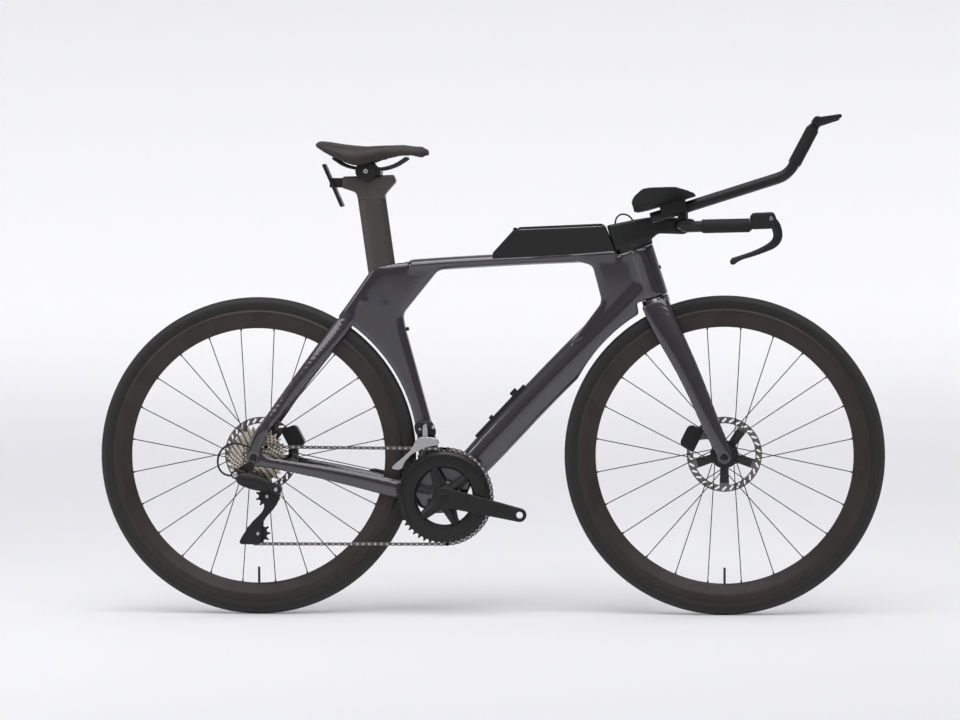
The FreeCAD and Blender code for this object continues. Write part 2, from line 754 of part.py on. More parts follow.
def around_bb(radius, angle, y=0.0):
    turn = math.radians(angle)
    return BB + Vector(radius * math.cos(turn), y, radius * math.sin(turn))


def make_cranks():
    """Both crank arms; the spindle is one piece with the right one."""
    long = size("crank_length")
    arm_face = ARM_MIDDLE - size("crank_thickness") / 2
    ahead = -size("crank_angle")
    for side, word, angle in ((RIGHT, "right", ahead), (LEFT, "left", ahead + 180)):
        turn = math.radians(angle)
        tip = (long * math.cos(turn), long * math.sin(turn))
        arm = plate("crank_arm_" + word, BB + Vector(0, side * ARM_MIDDLE, 0),
                    [arm_outline((0, 0), 21, tip, 14.5)], "sizes.crank_thickness")
        thread = rod("pedal_thread_" + word, around_bb(long, angle, -100), Vector(0, 1, 0),
                     "sizes.pedal_thread_radius", 200)
        if side == LEFT:
            spindle_hole = rod("spindle_hole", BB, Vector(0, 1, 0), "sizes.spindle_radius", 200)
            tools = fused("left_crank_bores", [thread, spindle_hole])
            node(cut("left_crank_cut", arm, tools), "left_crank")
            continue
        pieces = [arm]
        for number, away in enumerate(SPIDER_ANGLES):
            bolt = around_bb(RING_BOLT_RADIUS, angle + away) - BB
            spider = plate("spider_arm_%d" % number, BB - Vector(0, (SPIDER_FACE + arm_face) / 2, 0),
                           [arm_outline((0, 0), 20, (bolt.x, bolt.z), 9)], arm_face - SPIDER_FACE)
            pieces.append(spider)
        reach = ARM_MIDDLE + size("crank_thickness") / 2
        pieces.append(rod("spindle", BB - Vector(0, ARM_MIDDLE, 0), Vector(0, 1, 0), "sizes.spindle_radius",
                          ARM_MIDDLE + reach))
        bolts = [rod("spider_hole_%d" % number, around_bb(RING_BOLT_RADIUS, angle + away, -arm_face),
                     Vector(0, 1, 0), RING_BOLT, 30) for number, away in enumerate(SPIDER_ANGLES)]
        tools = fused("right_crank_bores", bolts + [thread])
        node(cut("right_crank_cut", fused("right_crank_solid", pieces), tools), "right_crank")


def make_chainring(word, teeth, line, low, high, extra=()):
    """A toothed ring with four bolt tabs between two distances from the centre plane."""
    hollow = 60.0
    disc = toothed_wheel(BB - Vector(0, line, 0), teeth, hollow)
    tabs = []
    for away in SPIDER_ANGLES:
        place = around_bb(RING_BOLT_RADIUS, away - size("crank_angle"), -high)
        tab = Part.makeCylinder(9, high - low, place, Vector(0, 1, 0))
        tabs.append(tab.cut(Part.makeCylinder(RING_BOLT, high - low, place, Vector(0, 1, 0))))
    band = Part.makeCylinder(hollow + 3.5, high - low, BB - Vector(0, high, 0), Vector(0, 1, 0))
    band = band.cut(Part.makeCylinder(hollow, high - low, BB - Vector(0, high, 0), Vector(0, 1, 0)))
    whole = feature(word + "_toothed_ring", disc.fuse(tabs + [band]).removeSplitter())
    return node(compound(word + "_ring_set", [whole, *extra]), word + "_chainring")


def make_chainrings():
    line, apart = size("ring_line"), size("ring_spacing")
    seam = line - 2
    inner_face = line - apart - size("tooth_thickness") / 2
    head = SPIDER_FACE + 6
    bolts = []
    for number, away in enumerate(SPIDER_ANGLES):
        place = around_bb(RING_BOLT_RADIUS, away - size("crank_angle"), -head)
        bolts.append(rod("chainring_bolt_%d" % number, place, Vector(0, 1, 0), RING_BOLT, head - inner_face))
    make_chainring("outer", size("outer_ring_teeth"), line, seam, SPIDER_FACE, bolts)
    make_chainring("inner", size("inner_ring_teeth"), line - apart, inner_face, seam)


COG_LINE = -size("cog_line")
RING_LINE = -size("ring_line")
GUIDE = rear(28, -82, COG_LINE)
TENSION = rear(8, -161, COG_LINE)
CAGE_PIVOT = rear(50, -66)


def make_chain():
    """The chain in five stretches; round each toothed wheel only its side plates are solid."""
    cog, big = rear(0, 0, COG_LINE), BB + Vector(0, RING_LINE, 0)
    cog_radius, ring_radius = pitch_radius(COG_TEETH[0]), pitch_radius(size("outer_ring_teeth"))
    pulley_radius = pitch_radius(size("pulley_teeth"))
    top_front, top_rear = tangent(big, ring_radius, 1, cog, cog_radius, 1)
    cog_exit, guide_entry = tangent(cog, cog_radius, 1, GUIDE, pulley_radius, -1)
    guide_exit, tension_entry = tangent(GUIDE, pulley_radius, -1, TENSION, pulley_radius, 1)
    low_rear, low_front = tangent(TENSION, pulley_radius, 1, big, ring_radius, 1)
    for point, line in ((top_front, RING_LINE), (top_rear, COG_LINE), (low_front, RING_LINE)):
        point.y = line
    for point in (cog_exit, guide_entry, guide_exit, tension_entry, low_rear):
        point.y = COG_LINE

    def stretch(label, shapes):
        node(feature(label + "_stretch", Part.makeCompound(shapes)), label)

    stretch("chain_upper_run", chain_run(top_front, ring_radius, top_rear, cog_radius))
    stretch("chain_wraps", chain_wrap(cog, cog_radius, top_rear, cog_exit, 1)
            + chain_wrap(big, ring_radius, low_front, top_front, 1))
    stretch("chain_lower_run", chain_run(low_rear, pulley_radius, low_front, ring_radius)
            + chain_run(cog_exit, cog_radius, guide_entry, pulley_radius))
    stretch("chain_cage_run", chain_wrap(GUIDE, pulley_radius, guide_entry, guide_exit, -1)
            + chain_wrap(TENSION, pulley_radius, tension_entry, low_rear, 1)
            + chain_run(guide_exit, pulley_radius, tension_entry, pulley_radius))


# Rear derailleur

LINK_FROM = rear(-22, -38, -90)
LINK_TO = rear(30, -56, -90)
LINK_SLANT = 25.0
LINK_ALONG = (LINK_TO - LINK_FROM).normalize()
LINK_HINGE = (Vector(-LINK_ALONG.z, 0, LINK_ALONG.x) * math.cos(math.radians(LINK_SLANT))
              + Vector(0, 1, 0) * math.sin(math.radians(LINK_SLANT)))
LINK_TURN = Rotation(LINK_ALONG, LINK_HINGE.negative(), LINK_HINGE.cross(LINK_ALONG).negative(), "ZXY")
LINK_HALF = 5.0
LUG = 4.6
PIN_RADIUS = 2.5


def on_hinge(point, along):
    return point + LINK_HINGE * along


def make_rear_derailleur():
    """Fixed knuckle, swinging link, and the cage knuckle with two plates."""
    gap = 0.3
    hanger = rear(-37, -35)
    block = plate("hanger_knuckle", hanger + Vector(0, -86.5, 0),
                  [arm_outline((0, 0), 9, (6, -1), 9)], 15)
    ear = plate("hanger_ear", on_hinge(LINK_FROM, LINK_HALF + gap + LUG / 2),
                [arm_outline((0, 0), 6, (-14, 0), 7)], LUG, LINK_TURN)
    room = rod("link_room", on_hinge(LINK_FROM, -12), LINK_HINGE, 7.5, 12 + LINK_HALF + gap)
    trimmed = cut("derailleur_base_trim", fused("derailleur_base_ears", [block, ear]), room)
    pin = rod("link_pin", on_hinge(LINK_FROM, -LINK_HALF), LINK_HINGE, PIN_RADIUS, 2 * LINK_HALF + gap + LUG)
    base = node(fused("derailleur_base_whole", [trimmed, pin]), "rear_derailleur_base")

    long = (LINK_TO - LINK_FROM).Length
    slip = PIN_RADIUS + size("running_clearance")
    owner = body("swing_link", LINK_FROM, LINK_TURN)
    outlines = [arm_outline((0, 0), 6, (long, 0), 6), circle(0, 0, slip), circle(long, 0, slip)]
    pad(owner, outlines, 2 * LINK_HALF)
    node(owner, "rear_derailleur_link")

    knuckle = rod("cage_knuckle", CAGE_PIVOT + Vector(0, -72.5, 0), Vector(0, -1, 0), 11, 24)
    lug = plate("cage_lug", on_hinge(LINK_TO, -LINK_HALF - gap - LUG / 2),
                [arm_outline((0, 0), 6, (19, 0), 8)], LUG, LINK_TURN)
    room = rod("cage_link_room", on_hinge(LINK_TO, -LINK_HALF - gap), LINK_HINGE, 7.5, 40)
    solid = cut("cage_knuckle_trim", fused("cage_knuckle_block", [knuckle, lug]), room)
    pin = rod("cage_pin", on_hinge(LINK_TO, -LINK_HALF - gap - LUG), LINK_HINGE, PIN_RADIUS,
              2 * LINK_HALF + gap + LUG)
    arm = fused("cage_knuckle_whole", [solid, pin])

    offset, thick = 6.4, 2.2
    plates = []
    guide, tension = GUIDE - rear(0, 0), TENSION - rear(0, 0)
    pivot = CAGE_PIVOT - rear(0, 0)
    for word, side in (("outer", -1), ("inner", 1)):
        middle = rear(0, 0, COG_LINE + side * offset)
        upper = plate("cage_upper_" + word, middle,
                      [arm_outline((pivot.x, pivot.z), 11, (guide.x, guide.z), 11)], thick)
        lower = plate("cage_lower_" + word, middle,
                      [arm_outline((guide.x, guide.z), 11, (tension.x, tension.z), 13)], thick)
        plates.append(fused("cage_plate_" + word, [upper, lower]))
    inner_faces = 2 * (offset - thick / 2)
    studs = [rod("pulley_stud_%d" % number, centre - Vector(0, inner_faces / 2, 0), Vector(0, 1, 0),
                 PIN_RADIUS, inner_faces) for number, centre in enumerate((GUIDE, TENSION))]
    node(fused("cage_solid", [arm, *plates, *studs]), "rear_derailleur_cage")
    for word, centre in (("guide", GUIDE), ("tension", TENSION)):
        wheel = toothed_wheel(centre, size("pulley_teeth"), slip)
        width = inner_faces - 0.8
        boss = Part.makeCylinder(7, width, centre - Vector(0, width / 2, 0), Vector(0, 1, 0))
        bore = Part.makeCylinder(slip, width, centre - Vector(0, width / 2, 0), Vector(0, 1, 0))
        node(feature(word + "_wheel", wheel.fuse(boss).cut(bore)), word + "_pulley")
    return base


# Front derailleur

FRONT_SWING = rear(362, 66, -42)
SWING_PIN = 2.0


def make_front_derailleur():
    """A bracket on the seat tube and a swinging cage over the outer chainring."""
    face = size("seat_tube_width") / 2
    bracket = box("cage_bracket", rear(354, 52, -face - 14), 16, 14, 26)
    ears = [box("cage_bracket_ear_%d" % number, rear(x, 60, -48), 3.5, 48 - face, 12)
            for number, x in enumerate((351, 369))]
    pin_start = FRONT_SWING + Vector(-11, 0, 0)
    pin = rod("swing_pin", pin_start, Vector(1, 0, 0), SWING_PIN, 21.5)
    trim = box("swing_room", rear(354.7, 40, -60), 14.1, 24, 60)
    solid = fused("cage_bracket_solid", [cut("cage_bracket_trim", bracket, trim), *ears])
    bracket = cut("front_mech_bracket", solid, pin)
    node(compound("front_mech_mount", [bracket, pin]), "front_derailleur_mount")

    plates = []
    tip = pitch_radius(size("outer_ring_teeth")) + 6.5
    for line, tall in ((-55.2, 17), (-40.2, 21)):
        section = Part.makePlane(tall, 1.4, Vector(tip, line - 0.7, 0), Vector(0, 0, 1))
        sector = section.revolve(Vector(), Vector(0, -1, 0), 44)
        sector.rotate(Vector(), Vector(0, -1, 0), 101)
        plates.append(sector.translated(BB))
    bridge = Part.makeBox(12.8, 16.2, 5, rear(355.3, 33, -55.8))
    stalk = Part.makeBox(12.8, 8, 29.5, rear(355.3, 37, -46))
    eye = Part.makeCylinder(5, 12.8, FRONT_SWING + Vector(-6.7, 0, 0), Vector(1, 0, 0))
    slip = SWING_PIN + size("running_clearance")
    bore = Part.makeCylinder(slip, 40, FRONT_SWING - Vector(20, 0, 0), Vector(1, 0, 0))
    solid = bridge.fuse([stalk, eye, *plates]).cut(bore)
    return node(feature("front_mech_cage", solid), "front_derailleur_cage")


# Fork

def make_fork():
    """Steerer, crown and two blades with dropouts, and the lug for the caliper."""
    deep, wide = "blade_depth", "blade_width"
    inner = size("front_spacing") / 2
    blades = []
    for side, word in ((RIGHT, "right"), (LEFT, "left")):
        middle = inner + size("dropout_thickness") / 2
        blade = tube("blade_" + word, [(front(-146, 326, side * 24), (deep, 1.08), (wide, 1.0)),
                                       (front(-132, 292, side * 30), (deep, 1.06), (wide, 1.0)),
                                       (front(-108, 243, side * 37), (deep, 0.97), (wide, 0.95)),
                                       (front(-44, 105, side * 50), (deep, 0.72), (wide, 0.7)),
                                       (front(2, 4, side * middle), (deep, 0.55), (wide, 0.4))])
        drop = rod("fork_dropout_" + word, front(0, 0, side * inner), Vector(0, side, 0), 14.5,
                   size("dropout_thickness"))
        blades += [blade, drop]
    lug_line = size("front_rotor_line") + CALIPER_OUT + LUG_THICKNESS / 2
    lug = plate("front_caliper_lug", front(0, 0, lug_line), [arm_outline((-22, 44), 11, (-66, 38), 11)],
                LUG_THICKNESS)
    crown = tube("crown", [(steering(up), ("head_tube_depth", 0.98), ("head_tube_width", share))
                           for up, share in ((-18, 1.15), (-8, 1.12), (-0.5, 1.0))])
    steerer = rod("steerer", steering(-1), STEER_UP, "sizes.steerer_radius", size("head_length") + 57)
    solid = fused("fork_solid", [*blades, crown, steerer, lug])
    hole = rod("fork_axle_hole", front(0, 0, -100), Vector(0, 1, 0), "sizes.axle_radius", 200)
    hub = rod("front_hub_space", front(0, 0, -inner), Vector(0, 1, 0), 30, 2 * inner)
    wheel = rod("front_wheel_space", front(0, 0, -20), Vector(0, 1, 0), "sizes.tyre_radius + 4", 40)
    outer = inner + size("dropout_thickness")
    faces = [rod("fork_spot_face_%s" % word, front(0, 0, side * outer), Vector(0, side, 0), 11, 20)
             for side, word in ((RIGHT, "right"), (LEFT, "left"))]
    return node(cut("fork_cut", solid, fused("fork_tools", [hole, hub, wheel, *faces])), "fork")


# Brakes

PAD_THICKNESS = 2.0
PAD_GAP = 0.35


def make_caliper(word, axle, line, angle):
    """A caliper block round the rotor's edge, with one pad on each side of the rotor."""
    turn = Rotation(Vector(0, -1, 0), angle)
    centre = axle + turn.multVec(Vector(79, 0, 0)) + Vector(0, line, 0)
    outline = [(-18, -27, 6), (17, -24, 12), (17, 24, 12), (-18, 27, 6)]
    owner = plate(word + "_caliper_block", centre, [rounded(outline)], 2 * CALIPER_OUT, turn)
    half = size("rotor_thickness") / 2 + PAD_GAP + PAD_THICKNESS
    slot = box(word + "_caliper_slot", Vector(), 25, 2 * half, 80)
    slot.Placement = Placement(centre, turn).multiply(Placement(Vector(-20, -half, -40), Rotation()))
    node(cut(word + "_caliper_cut", owner, slot), word + "_caliper")
    for side, place in ((-1, "right"), (1, "left")):
        inner = side * (size("rotor_thickness") / 2 + PAD_GAP + PAD_THICKNESS / 2)
        owner = plate("%s_pad_%s" % (word, place), centre + Vector(0, inner, 0),
                      [rounded([(-14, -14, 3), (3, -14, 3), (3, 14, 3), (-14, 14, 3)])], PAD_THICKNESS, turn)
        node(owner, "%s_brake_pad_%s" % (word, place))


# Cockpit

BAR_CENTRE = front(-80, 486)


def make_stem(base_bar):
    """The stem with its faired tail, and the cover over the upper bearing."""
    low, top = size("head_length") + 10.5, size("head_length") + 68
    tail = -BOX_CLEARANCE

    def flat(point):
        return (point.x - FRONT_X, point.z - AXLE_Z)

    outline = [flat(steering(low, tail)), (*flat(steering(top, tail)), 6), (-186, 500, 30), (-140, 507, 30),
               (-62, 500, 10), (-56, 482, 10), (-84, 468, 10), (-138, 470, 15), flat(steering(low, 28))]
    owner = body("stem_block", front(0, 0))
    block = pad(owner, [rounded(outline)], 44)
    soften(owner, block, 6, flat_in_y)
    bore = rod("stem_bore", steering(0), STEER_UP, "sizes.steerer_radius", size("head_length") + 56)
    behind = box("tail_corner", Vector(), 60, 60, top + 20)
    behind.Placement = Placement(steering(0), Rotation(Vector(0, 0, 1), STEER_UP)).multiply(
        Placement(Vector(tail - 30, -30, 0), Rotation()))
    swing = rod("tail_swing", steering(0), STEER_UP, BOX_CLEARANCE - TAIL_GAP, top + 20)
    round_tail = cut("tail_round", behind, swing)
    solid = cut("stem_solid", owner, fused("stem_tools", [bore, base_bar, round_tail]))
    slip = "sizes.steerer_radius"
    cover = tube("cover_blank", [(steering(size("head_length") + up, -9), ("head_tube_depth", depth),
                                  ("head_tube_width", 0.86)) for up, depth in ((0.5, 1.3), (10.5, 1.38))])
    cover = cut("bearing_cover", cover, rod("cover_bore", steering(0), STEER_UP, slip, 300))
    return node(compound("stem_set", [solid, cover]), "stem")


def make_base_bar():
    """A wing across the stem that turns forward into two round ends."""
    half = size("bar_half_width")
    ends = []
    for side, word in ((RIGHT, "right"), (LEFT, "left")):
        route = [front(-80, 486, side * 60), front(-80, 483, side * (half - 30)),
                 front(-52, 484, side * half), front(58, 486, side * half)]
        ends.append(pipe("bar_end_" + word, route, size("bar_radius")))
    wing = tube("bar_wing", [(BAR_CENTRE + Vector(0, y, 0), ("bar_radius", 2.0), ("bar_radius", share))
                             for y, share in ((-150, 2.2), (-60, 3.4), (60, 3.4), (150, 2.2))])
    return node(fused("base_bar_solid", [wing, *ends]), "base_bar")


EXTENSION = ((-152, 502), (136, 592), (189, 692))
EXTENSION_UP = Vector(53, 0, 100).normalize()
EXTENSION_BEND = 0.2
GRIP_START, GRIP_END = 86, 6


def make_extensions():
    aside = size("extension_half_spacing")
    route = [front(x, z, -aside) for x, z in EXTENSION]
    tube_shape = pipe("extension", route, size("bar_radius"), EXTENSION_BEND)
    return node(pair("extension_pair", tube_shape), "extensions")


def make_grips(base_bar, extensions):
    """Grips over the ends of the base bar and over the upturned extensions."""
    start = front(-44, 484.2, -size("bar_half_width"))
    along = front(58, 486, -size("bar_half_width")) - start
    hand = cut("bar_grip", rod("bar_grip_blank", start, along, "sizes.grip_radius", 98), base_bar)
    end = front(*EXTENSION[2], -size("extension_half_spacing"))
    blank = rod("extension_grip_blank", end - EXTENSION_UP * GRIP_START, EXTENSION_UP,
                "sizes.grip_radius - 0.6", GRIP_START - GRIP_END)
    hold = cut("extension_grip", blank, extensions)
    return node(compound("grip_set", [hand, mirrored("bar_grip_left", hand), hold,
                                      mirrored("extension_grip_left", hold)]), "bar_grips")


LEVER_PIVOT = (98, 499)
SHIFT_PIVOT = (196, 702)
HOUSING_WIDTH = 26.0
SHIFTER_OUT = 15.8
SHIFTER_WIDTH = 8.0


def make_housings(base_bar):
    """Brake lever housings on the bar ends, and shifter pods on the extension ends."""
    half = size("bar_half_width")
    owner = body("lever_housing", front(0, 0, -half))
    outline = [(58, 478, 5), (55, 511, 8), (104, 513, 9), (112, 490, 10), (102, 479, 6)]
    shell = pad(owner, [rounded(outline)], HOUSING_WIDTH)
    soften(owner, shell, 5, flat_in_y)
    slot = box("lever_slot", front(74, 470, -half - size("lever_width") / 2 - 0.4), 80,
               size("lever_width") + 0.8, 60)
    housing = cut("lever_housing_fit", cut("lever_housing_slot", owner, slot), base_bar)
    pin = rod("lever_pin", front(*LEVER_PIVOT, -half - HOUSING_WIDTH / 2), Vector(0, 1, 0), PIN_RADIUS,
              HOUSING_WIDTH)
    clamp = fused("lever_clamp", [housing, pin])

    aside = size("extension_half_spacing")
    end = front(*EXTENSION[2], -aside)
    boss_face = SHIFTER_OUT - SHIFTER_WIDTH / 2 - 0.3
    boss = rod("shifter_boss", front(*SHIFT_PIVOT, -aside - boss_face), Vector(0, 1, 0), 11, boss_face + 8)
    neck = rod("shifter_neck", end, EXTENSION_UP, "sizes.bar_radius - 3.6", 8)
    stud = rod("shifter_stud", front(*SHIFT_PIVOT, -aside - SHIFTER_OUT - SHIFTER_WIDTH / 2),
               Vector(0, 1, 0), PIN_RADIUS, SHIFTER_WIDTH + 2)
    pod = fused("shifter_pod", [boss, neck, stud])
    return node(compound("housing_set", [clamp, mirrored("lever_clamp_left", clamp), pod,
                                         mirrored("shifter_pod_left", pod)]), "lever_housings")


def make_levers():
    """Brake levers and shift levers, one node for each hand."""
    half = size("bar_half_width")
    slip = PIN_RADIUS + size("running_clearance")
    x, z = LEVER_PIVOT
    outline = [(x - 9, z + 8, 7), (x + 10, z + 9, 9), (126, 478, 20), (120, 446, 16), (30, 403, 6),
               (17, 409, 5), (33, 418, 8), (104, 449, 14), (114, 472, 14), (96, 488, 6)]
    blade = body("brake_blade", front(0, 0, -half))
    pad(blade, [rounded(outline), circle(x, z, slip)], "sizes.lever_width")
    node(blade, "right_brake_lever")
    node(mirrored("brake_blade_left", blade), "left_brake_lever")
    aside = size("extension_half_spacing")
    stick = plate("shift_stick", front(*SHIFT_PIVOT, -aside - SHIFTER_OUT),
                  [arm_outline((0, 0), 8, (46, 10.5), 4), circle(0, 0, slip)], SHIFTER_WIDTH)
    node(stick, "right_shift_lever")
    node(mirrored("shift_stick_left", stick), "left_shift_lever")


ARM_TILT = 16.5
ARM_START = (-184, 512)
CUP_RADIUS = 52.0
CUP_WALL = 4.0
CUP_SPREAD = 80


def trough(outer, inner, half_angle, start, length):
    """Part of a round trough that opens upwards, along the tilted forearm line."""
    section = Part.makePlane(outer - inner, length, Vector(inner, start, 0), Vector(0, 0, 1))
    section.rotate(Vector(), Vector(0, 1, 0), 90 - half_angle)
    solid = section.revolve(Vector(), Vector(0, 1, 0), 2 * half_angle)
    solid.Placement = Placement(Vector(), Rotation(Vector(0, 0, 1), -90)).multiply(solid.Placement)
    return solid


def make_arm_rests(base_bar, extensions):
    """Forearm cups on risers that also clamp the extensions, with a soft pad in each cup."""
    aside = size("arm_pad_half_spacing")
    tilt = Rotation(Vector(0, -1, 0), ARM_TILT)
    centre = front(*ARM_START, -aside) + tilt.multVec(Vector(0, 0, CUP_RADIUS))
    side_view = [(-196, 500), (-190, 532, 22), (-163, 565, 30), (-100, 569, 35), (-58, 553, 6), (-60, 540, 6),
                 (-120, 500)]
    window = plate("cup_side_view", front(0, 0, -aside), [rounded(side_view)], 140)
    doc.recompute()
    cup = trough(CUP_RADIUS, CUP_RADIUS - CUP_WALL, CUP_SPREAD, -2, 132)
    cup.Placement = Placement(centre, tilt).multiply(cup.Placement)
    cup = feature("cup", cup.common(window.Shape))
    lining = CUP_RADIUS - CUP_WALL
    soft = trough(lining, lining - size("arm_pad_thickness"), CUP_SPREAD - 6, 4, 122)
    soft.Placement = Placement(centre, tilt).multiply(soft.Placement)
    soft = feature("arm_pad", soft.common(window.Shape))
    node(pair("arm_pad_set", soft), "arm_pads")

    line = size("extension_half_spacing")
    block = box("riser_block", Vector(), 54, 36, 44)
    block.Placement = Placement(front(*ARM_START, -line - 22), tilt).multiply(
        Placement(Vector(52, 0, -28), Rotation()))
    post = rod("riser_post", front(-86, 486, -line), Vector(0, 0, 1), 10, 34)
    hollow = Part.makeCylinder(CUP_RADIUS, 240, Vector(-40, 0, 0), Vector(1, 0, 0))
    hollow.Placement = Placement(centre, tilt).multiply(hollow.Placement)
    tools = fused("riser_tools", [feature("cup_room", hollow), extensions, base_bar])
    riser = cut("riser", fused("riser_solid", [block, post]), tools)
    pieces = [cup, mirrored("cup_left", cup), riser, mirrored("riser_left", riser)]
    return node(compound("arm_rest_set", pieces), "arm_rests")


# Storage box

LID_HINGE = (-441, 480)
LID_PIN = 1.5


def make_storage(top_tube):
    """A faired box on the top tube, hollow and open at the top, with a hinged lid."""
    wide, wall = size("box_width"), size("box_wall")
    owner = body("box_shell", front(0, 0))
    outline = [(-490, 415), (-488, 431, 3), (-444, 479, 5), (-250, 486), (-230, 440), (-230, 420)]
    shell = pad(owner, [rounded(outline)], "sizes.box_width")
    soften(owner, shell, 4, lambda edge: flat_in_y(edge) and edge.CenterOfMass.x < front(-445, 0).x)
    hollow = plate("box_hollow", front(0, 0),
                   [rounded([(-452, 446, 6), (-432, 470, 8), (-432, 500), (-262, 500), (-250, 452, 6)])],
                   wide - 2 * wall)
    swing = rod("tail_room", steering(0), STEER_UP, BOX_CLEARANCE, 300)
    nose = rod("lid_nose_room", front(*LID_HINGE, -14.4), Vector(0, 1, 0), 4.3, 28.8)
    pin = rod("lid_pin", front(*LID_HINGE, -wide / 2 + 2), Vector(0, 1, 0), LID_PIN, wide - 4)
    tools = fused("box_tools", [hollow, swing, nose, pin])
    seated = cut("box_seated", cut("box_cut", owner, tools), top_tube)
    node(compound("box_set", [seated, pin]), "storage_box")

    owner = body("lid_shell", front(0, 0))
    outline = [(-439.5, 479.5), (-430, 485, 4), (-258, 491.5, 3), (-250, 486.3)]
    pad(owner, [rounded(outline)], "sizes.box_width")
    barrel = rod("lid_barrel", front(*LID_HINGE, -14), Vector(0, 1, 0), 4, 28)
    bore = rod("lid_bore", front(*LID_HINGE, -40), Vector(0, 1, 0), LID_PIN + size("running_clearance"), 80)
    lid = cut("lid_cut", fused("lid_solid", [owner, barrel]), fused("lid_tools", [bore, swing]))
    return node(lid, "storage_lid")


# Seatpost and saddle

def make_seatpost():
    """A bladed post with a raised head that carries the saddle clamp."""
    blade = tube("post_blade", [(post_at(height), ("post_depth", 1.0), ("post_width", 1.0))
                                for height in (565, 345)])
    owner = body("post_head", rear(0, 0))
    outline = [(186, 594, 4), (294, 597, 4), (300, 583, 8), (276, 556, 12), (276, 545), (218, 545),
               (214, 560, 12), (184, 570, 3)]
    head = pad(owner, [rounded(outline)], "sizes.post_width + 2")
    soften(owner, head, 5, flat_in_y)
    return node(fused("seatpost_solid", [blade, owner]), "seatpost")


def make_rear_bracket(seatpost):
    """A slanted plate behind the post head with two bottle-cage holes."""
    top, bottom = Vector(142, 619, 0), Vector(181, 529, 0)
    along = (bottom - top).normalize()
    out = Vector(along.y, -along.x, 0) * 7
    corners = [top, bottom, bottom - out, top - out]
    owner = body("bracket_plate", rear(0, 0))
    pad(owner, [rounded([(corner.x, corner.y, 2) for corner in corners])], 34)
    foot = box("bracket_foot", rear(158, 571, -12), 28, 24, 20)
    solid = fused("bracket_solid", [owner, foot])
    face = Rotation(Vector(0, 0, 1), Vector(out.x, 0, out.y))
    centre = (top + bottom) * 0.5
    holes = []
    for number, away in enumerate((-32, 32)):
        spot = centre + along * away
        holes.append(rod("bracket_hole_%d" % number, rear(spot.x, spot.y) - face.multVec(Vector(0, 0, 20)),
                         Vector(out.x, 0, out.y), 2.5, 40))
    drilled = cut("bracket_drilled", solid, fused("bracket_holes", holes))
    return node(cut("bracket_cut", drilled, seatpost), "rear_bracket")


def make_saddle(seatpost):
    aside, radius = size("rail_half_spacing"), size("rail_radius")
    route = [rear(166, 634, -aside), rear(190, 617, -aside), rear(222, 609.5, -aside), rear(272, 609, -aside),
             rear(300, 617, -aside), rear(324, 633, -aside)]
    rail = pipe("rail", route, radius)
    rails = node(pair("rail_pair", rail), "saddle_rails")
    owner = body("clamp_block", rear(0, 0))
    pad(owner, [rounded([(220, 594.5), (220, 614, 5), (268, 614, 5), (268, 596)])], 2 * (aside + radius + 2))
    reach = aside + radius + 6
    bolt = rod("clamp_bolt", rear(244, 602, -reach), Vector(0, 1, 0), 4, 2 * reach)
    solid = fused("clamp_solid", [owner, bolt])
    node(cut("clamp_cut", solid, compound("clamp_tools", [rails, seatpost])), "saddle_clamp")
    make_saddle_top(rails)


CHANNEL_STATIONS = ((190, 661, 7), (270, 658, 9), (385, 655, 8))
SADDLE_STATIONS = ((128, 0.50, 662, 652), (150, 0.86, 665, 642), (185, 1.00, 663, 628), (225, 0.94, 659, 622),
                   (265, 0.62, 658, 626), (305, 0.40, 660, 634), (345, 0.36, 661, 637), (372, 0.26, 652, 640))


def saddle_section(x, share, top, bottom):
    """A crowned cross section with drawn-in sides."""
    half = size("saddle_width") / 2 * share
    tall = top - bottom
    points = [(0, top), (0.55, top - 0.06 * tall), (0.9, top - 0.32 * tall), (1.0, top - 0.7 * tall),
              (0.93, bottom), (0.5, bottom + 0.3 * tall), (0, bottom + 0.38 * tall)]
    loop = [rear(x, z, half * share_out) for share_out, z in points]
    loop += [rear(x, z, -half * share_out) for share_out, z in reversed(points[1:-1])]
    curve = Part.BSplineCurve()
    curve.interpolate(loop, PeriodicFlag=True)
    return Part.Wire([curve.toShape()])


def make_saddle_top(rails):
    """The padded cover with its centre channel, and the shell under it."""
    cover = Part.makeLoft([saddle_section(*station) for station in SADDLE_STATIONS], True, False)
    hollows = []
    for x, top, half in CHANNEL_STATIONS:
        hollow = Part.Ellipse(rear(x, top + 4), half * 1.2, half).toShape()
        hollows.append(Part.Wire([hollow.rotated(rear(x, top + 4), Vector(0, 1, 0), 90)]))
    cover = cover.cut(Part.makeLoft(hollows, True, False))
    ovals = []
    for x, share, top, bottom in SADDLE_STATIONS[1:-1]:
        tall = top - bottom
        centre = rear(x, bottom + 0.42 * tall)
        outline = Part.Ellipse(centre, 0.37 * size("saddle_width") * share, 0.3 * tall).toShape()
        outline.rotate(centre, Vector(1, 0, 0), 90)
        outline.rotate(centre, Vector(0, 0, 1), 90)
        ovals.append(Part.Wire([outline]))
    under = Part.makeLoft(ovals, True, False).cut(cover)
    shell = max(under.Solids, key=lambda solid: solid.Volume)
    node(feature("saddle_pad", cover), "saddle_cover")
    return node(cut("saddle_base", feature("saddle_base_blank", shell), rails), "saddle_shell")


# Small fittings and cables

TUBE_ALONG = Vector(143, 0, 151).normalize()
TUBE_OUT = Vector(-TUBE_ALONG.z, 0, TUBE_ALONG.x)


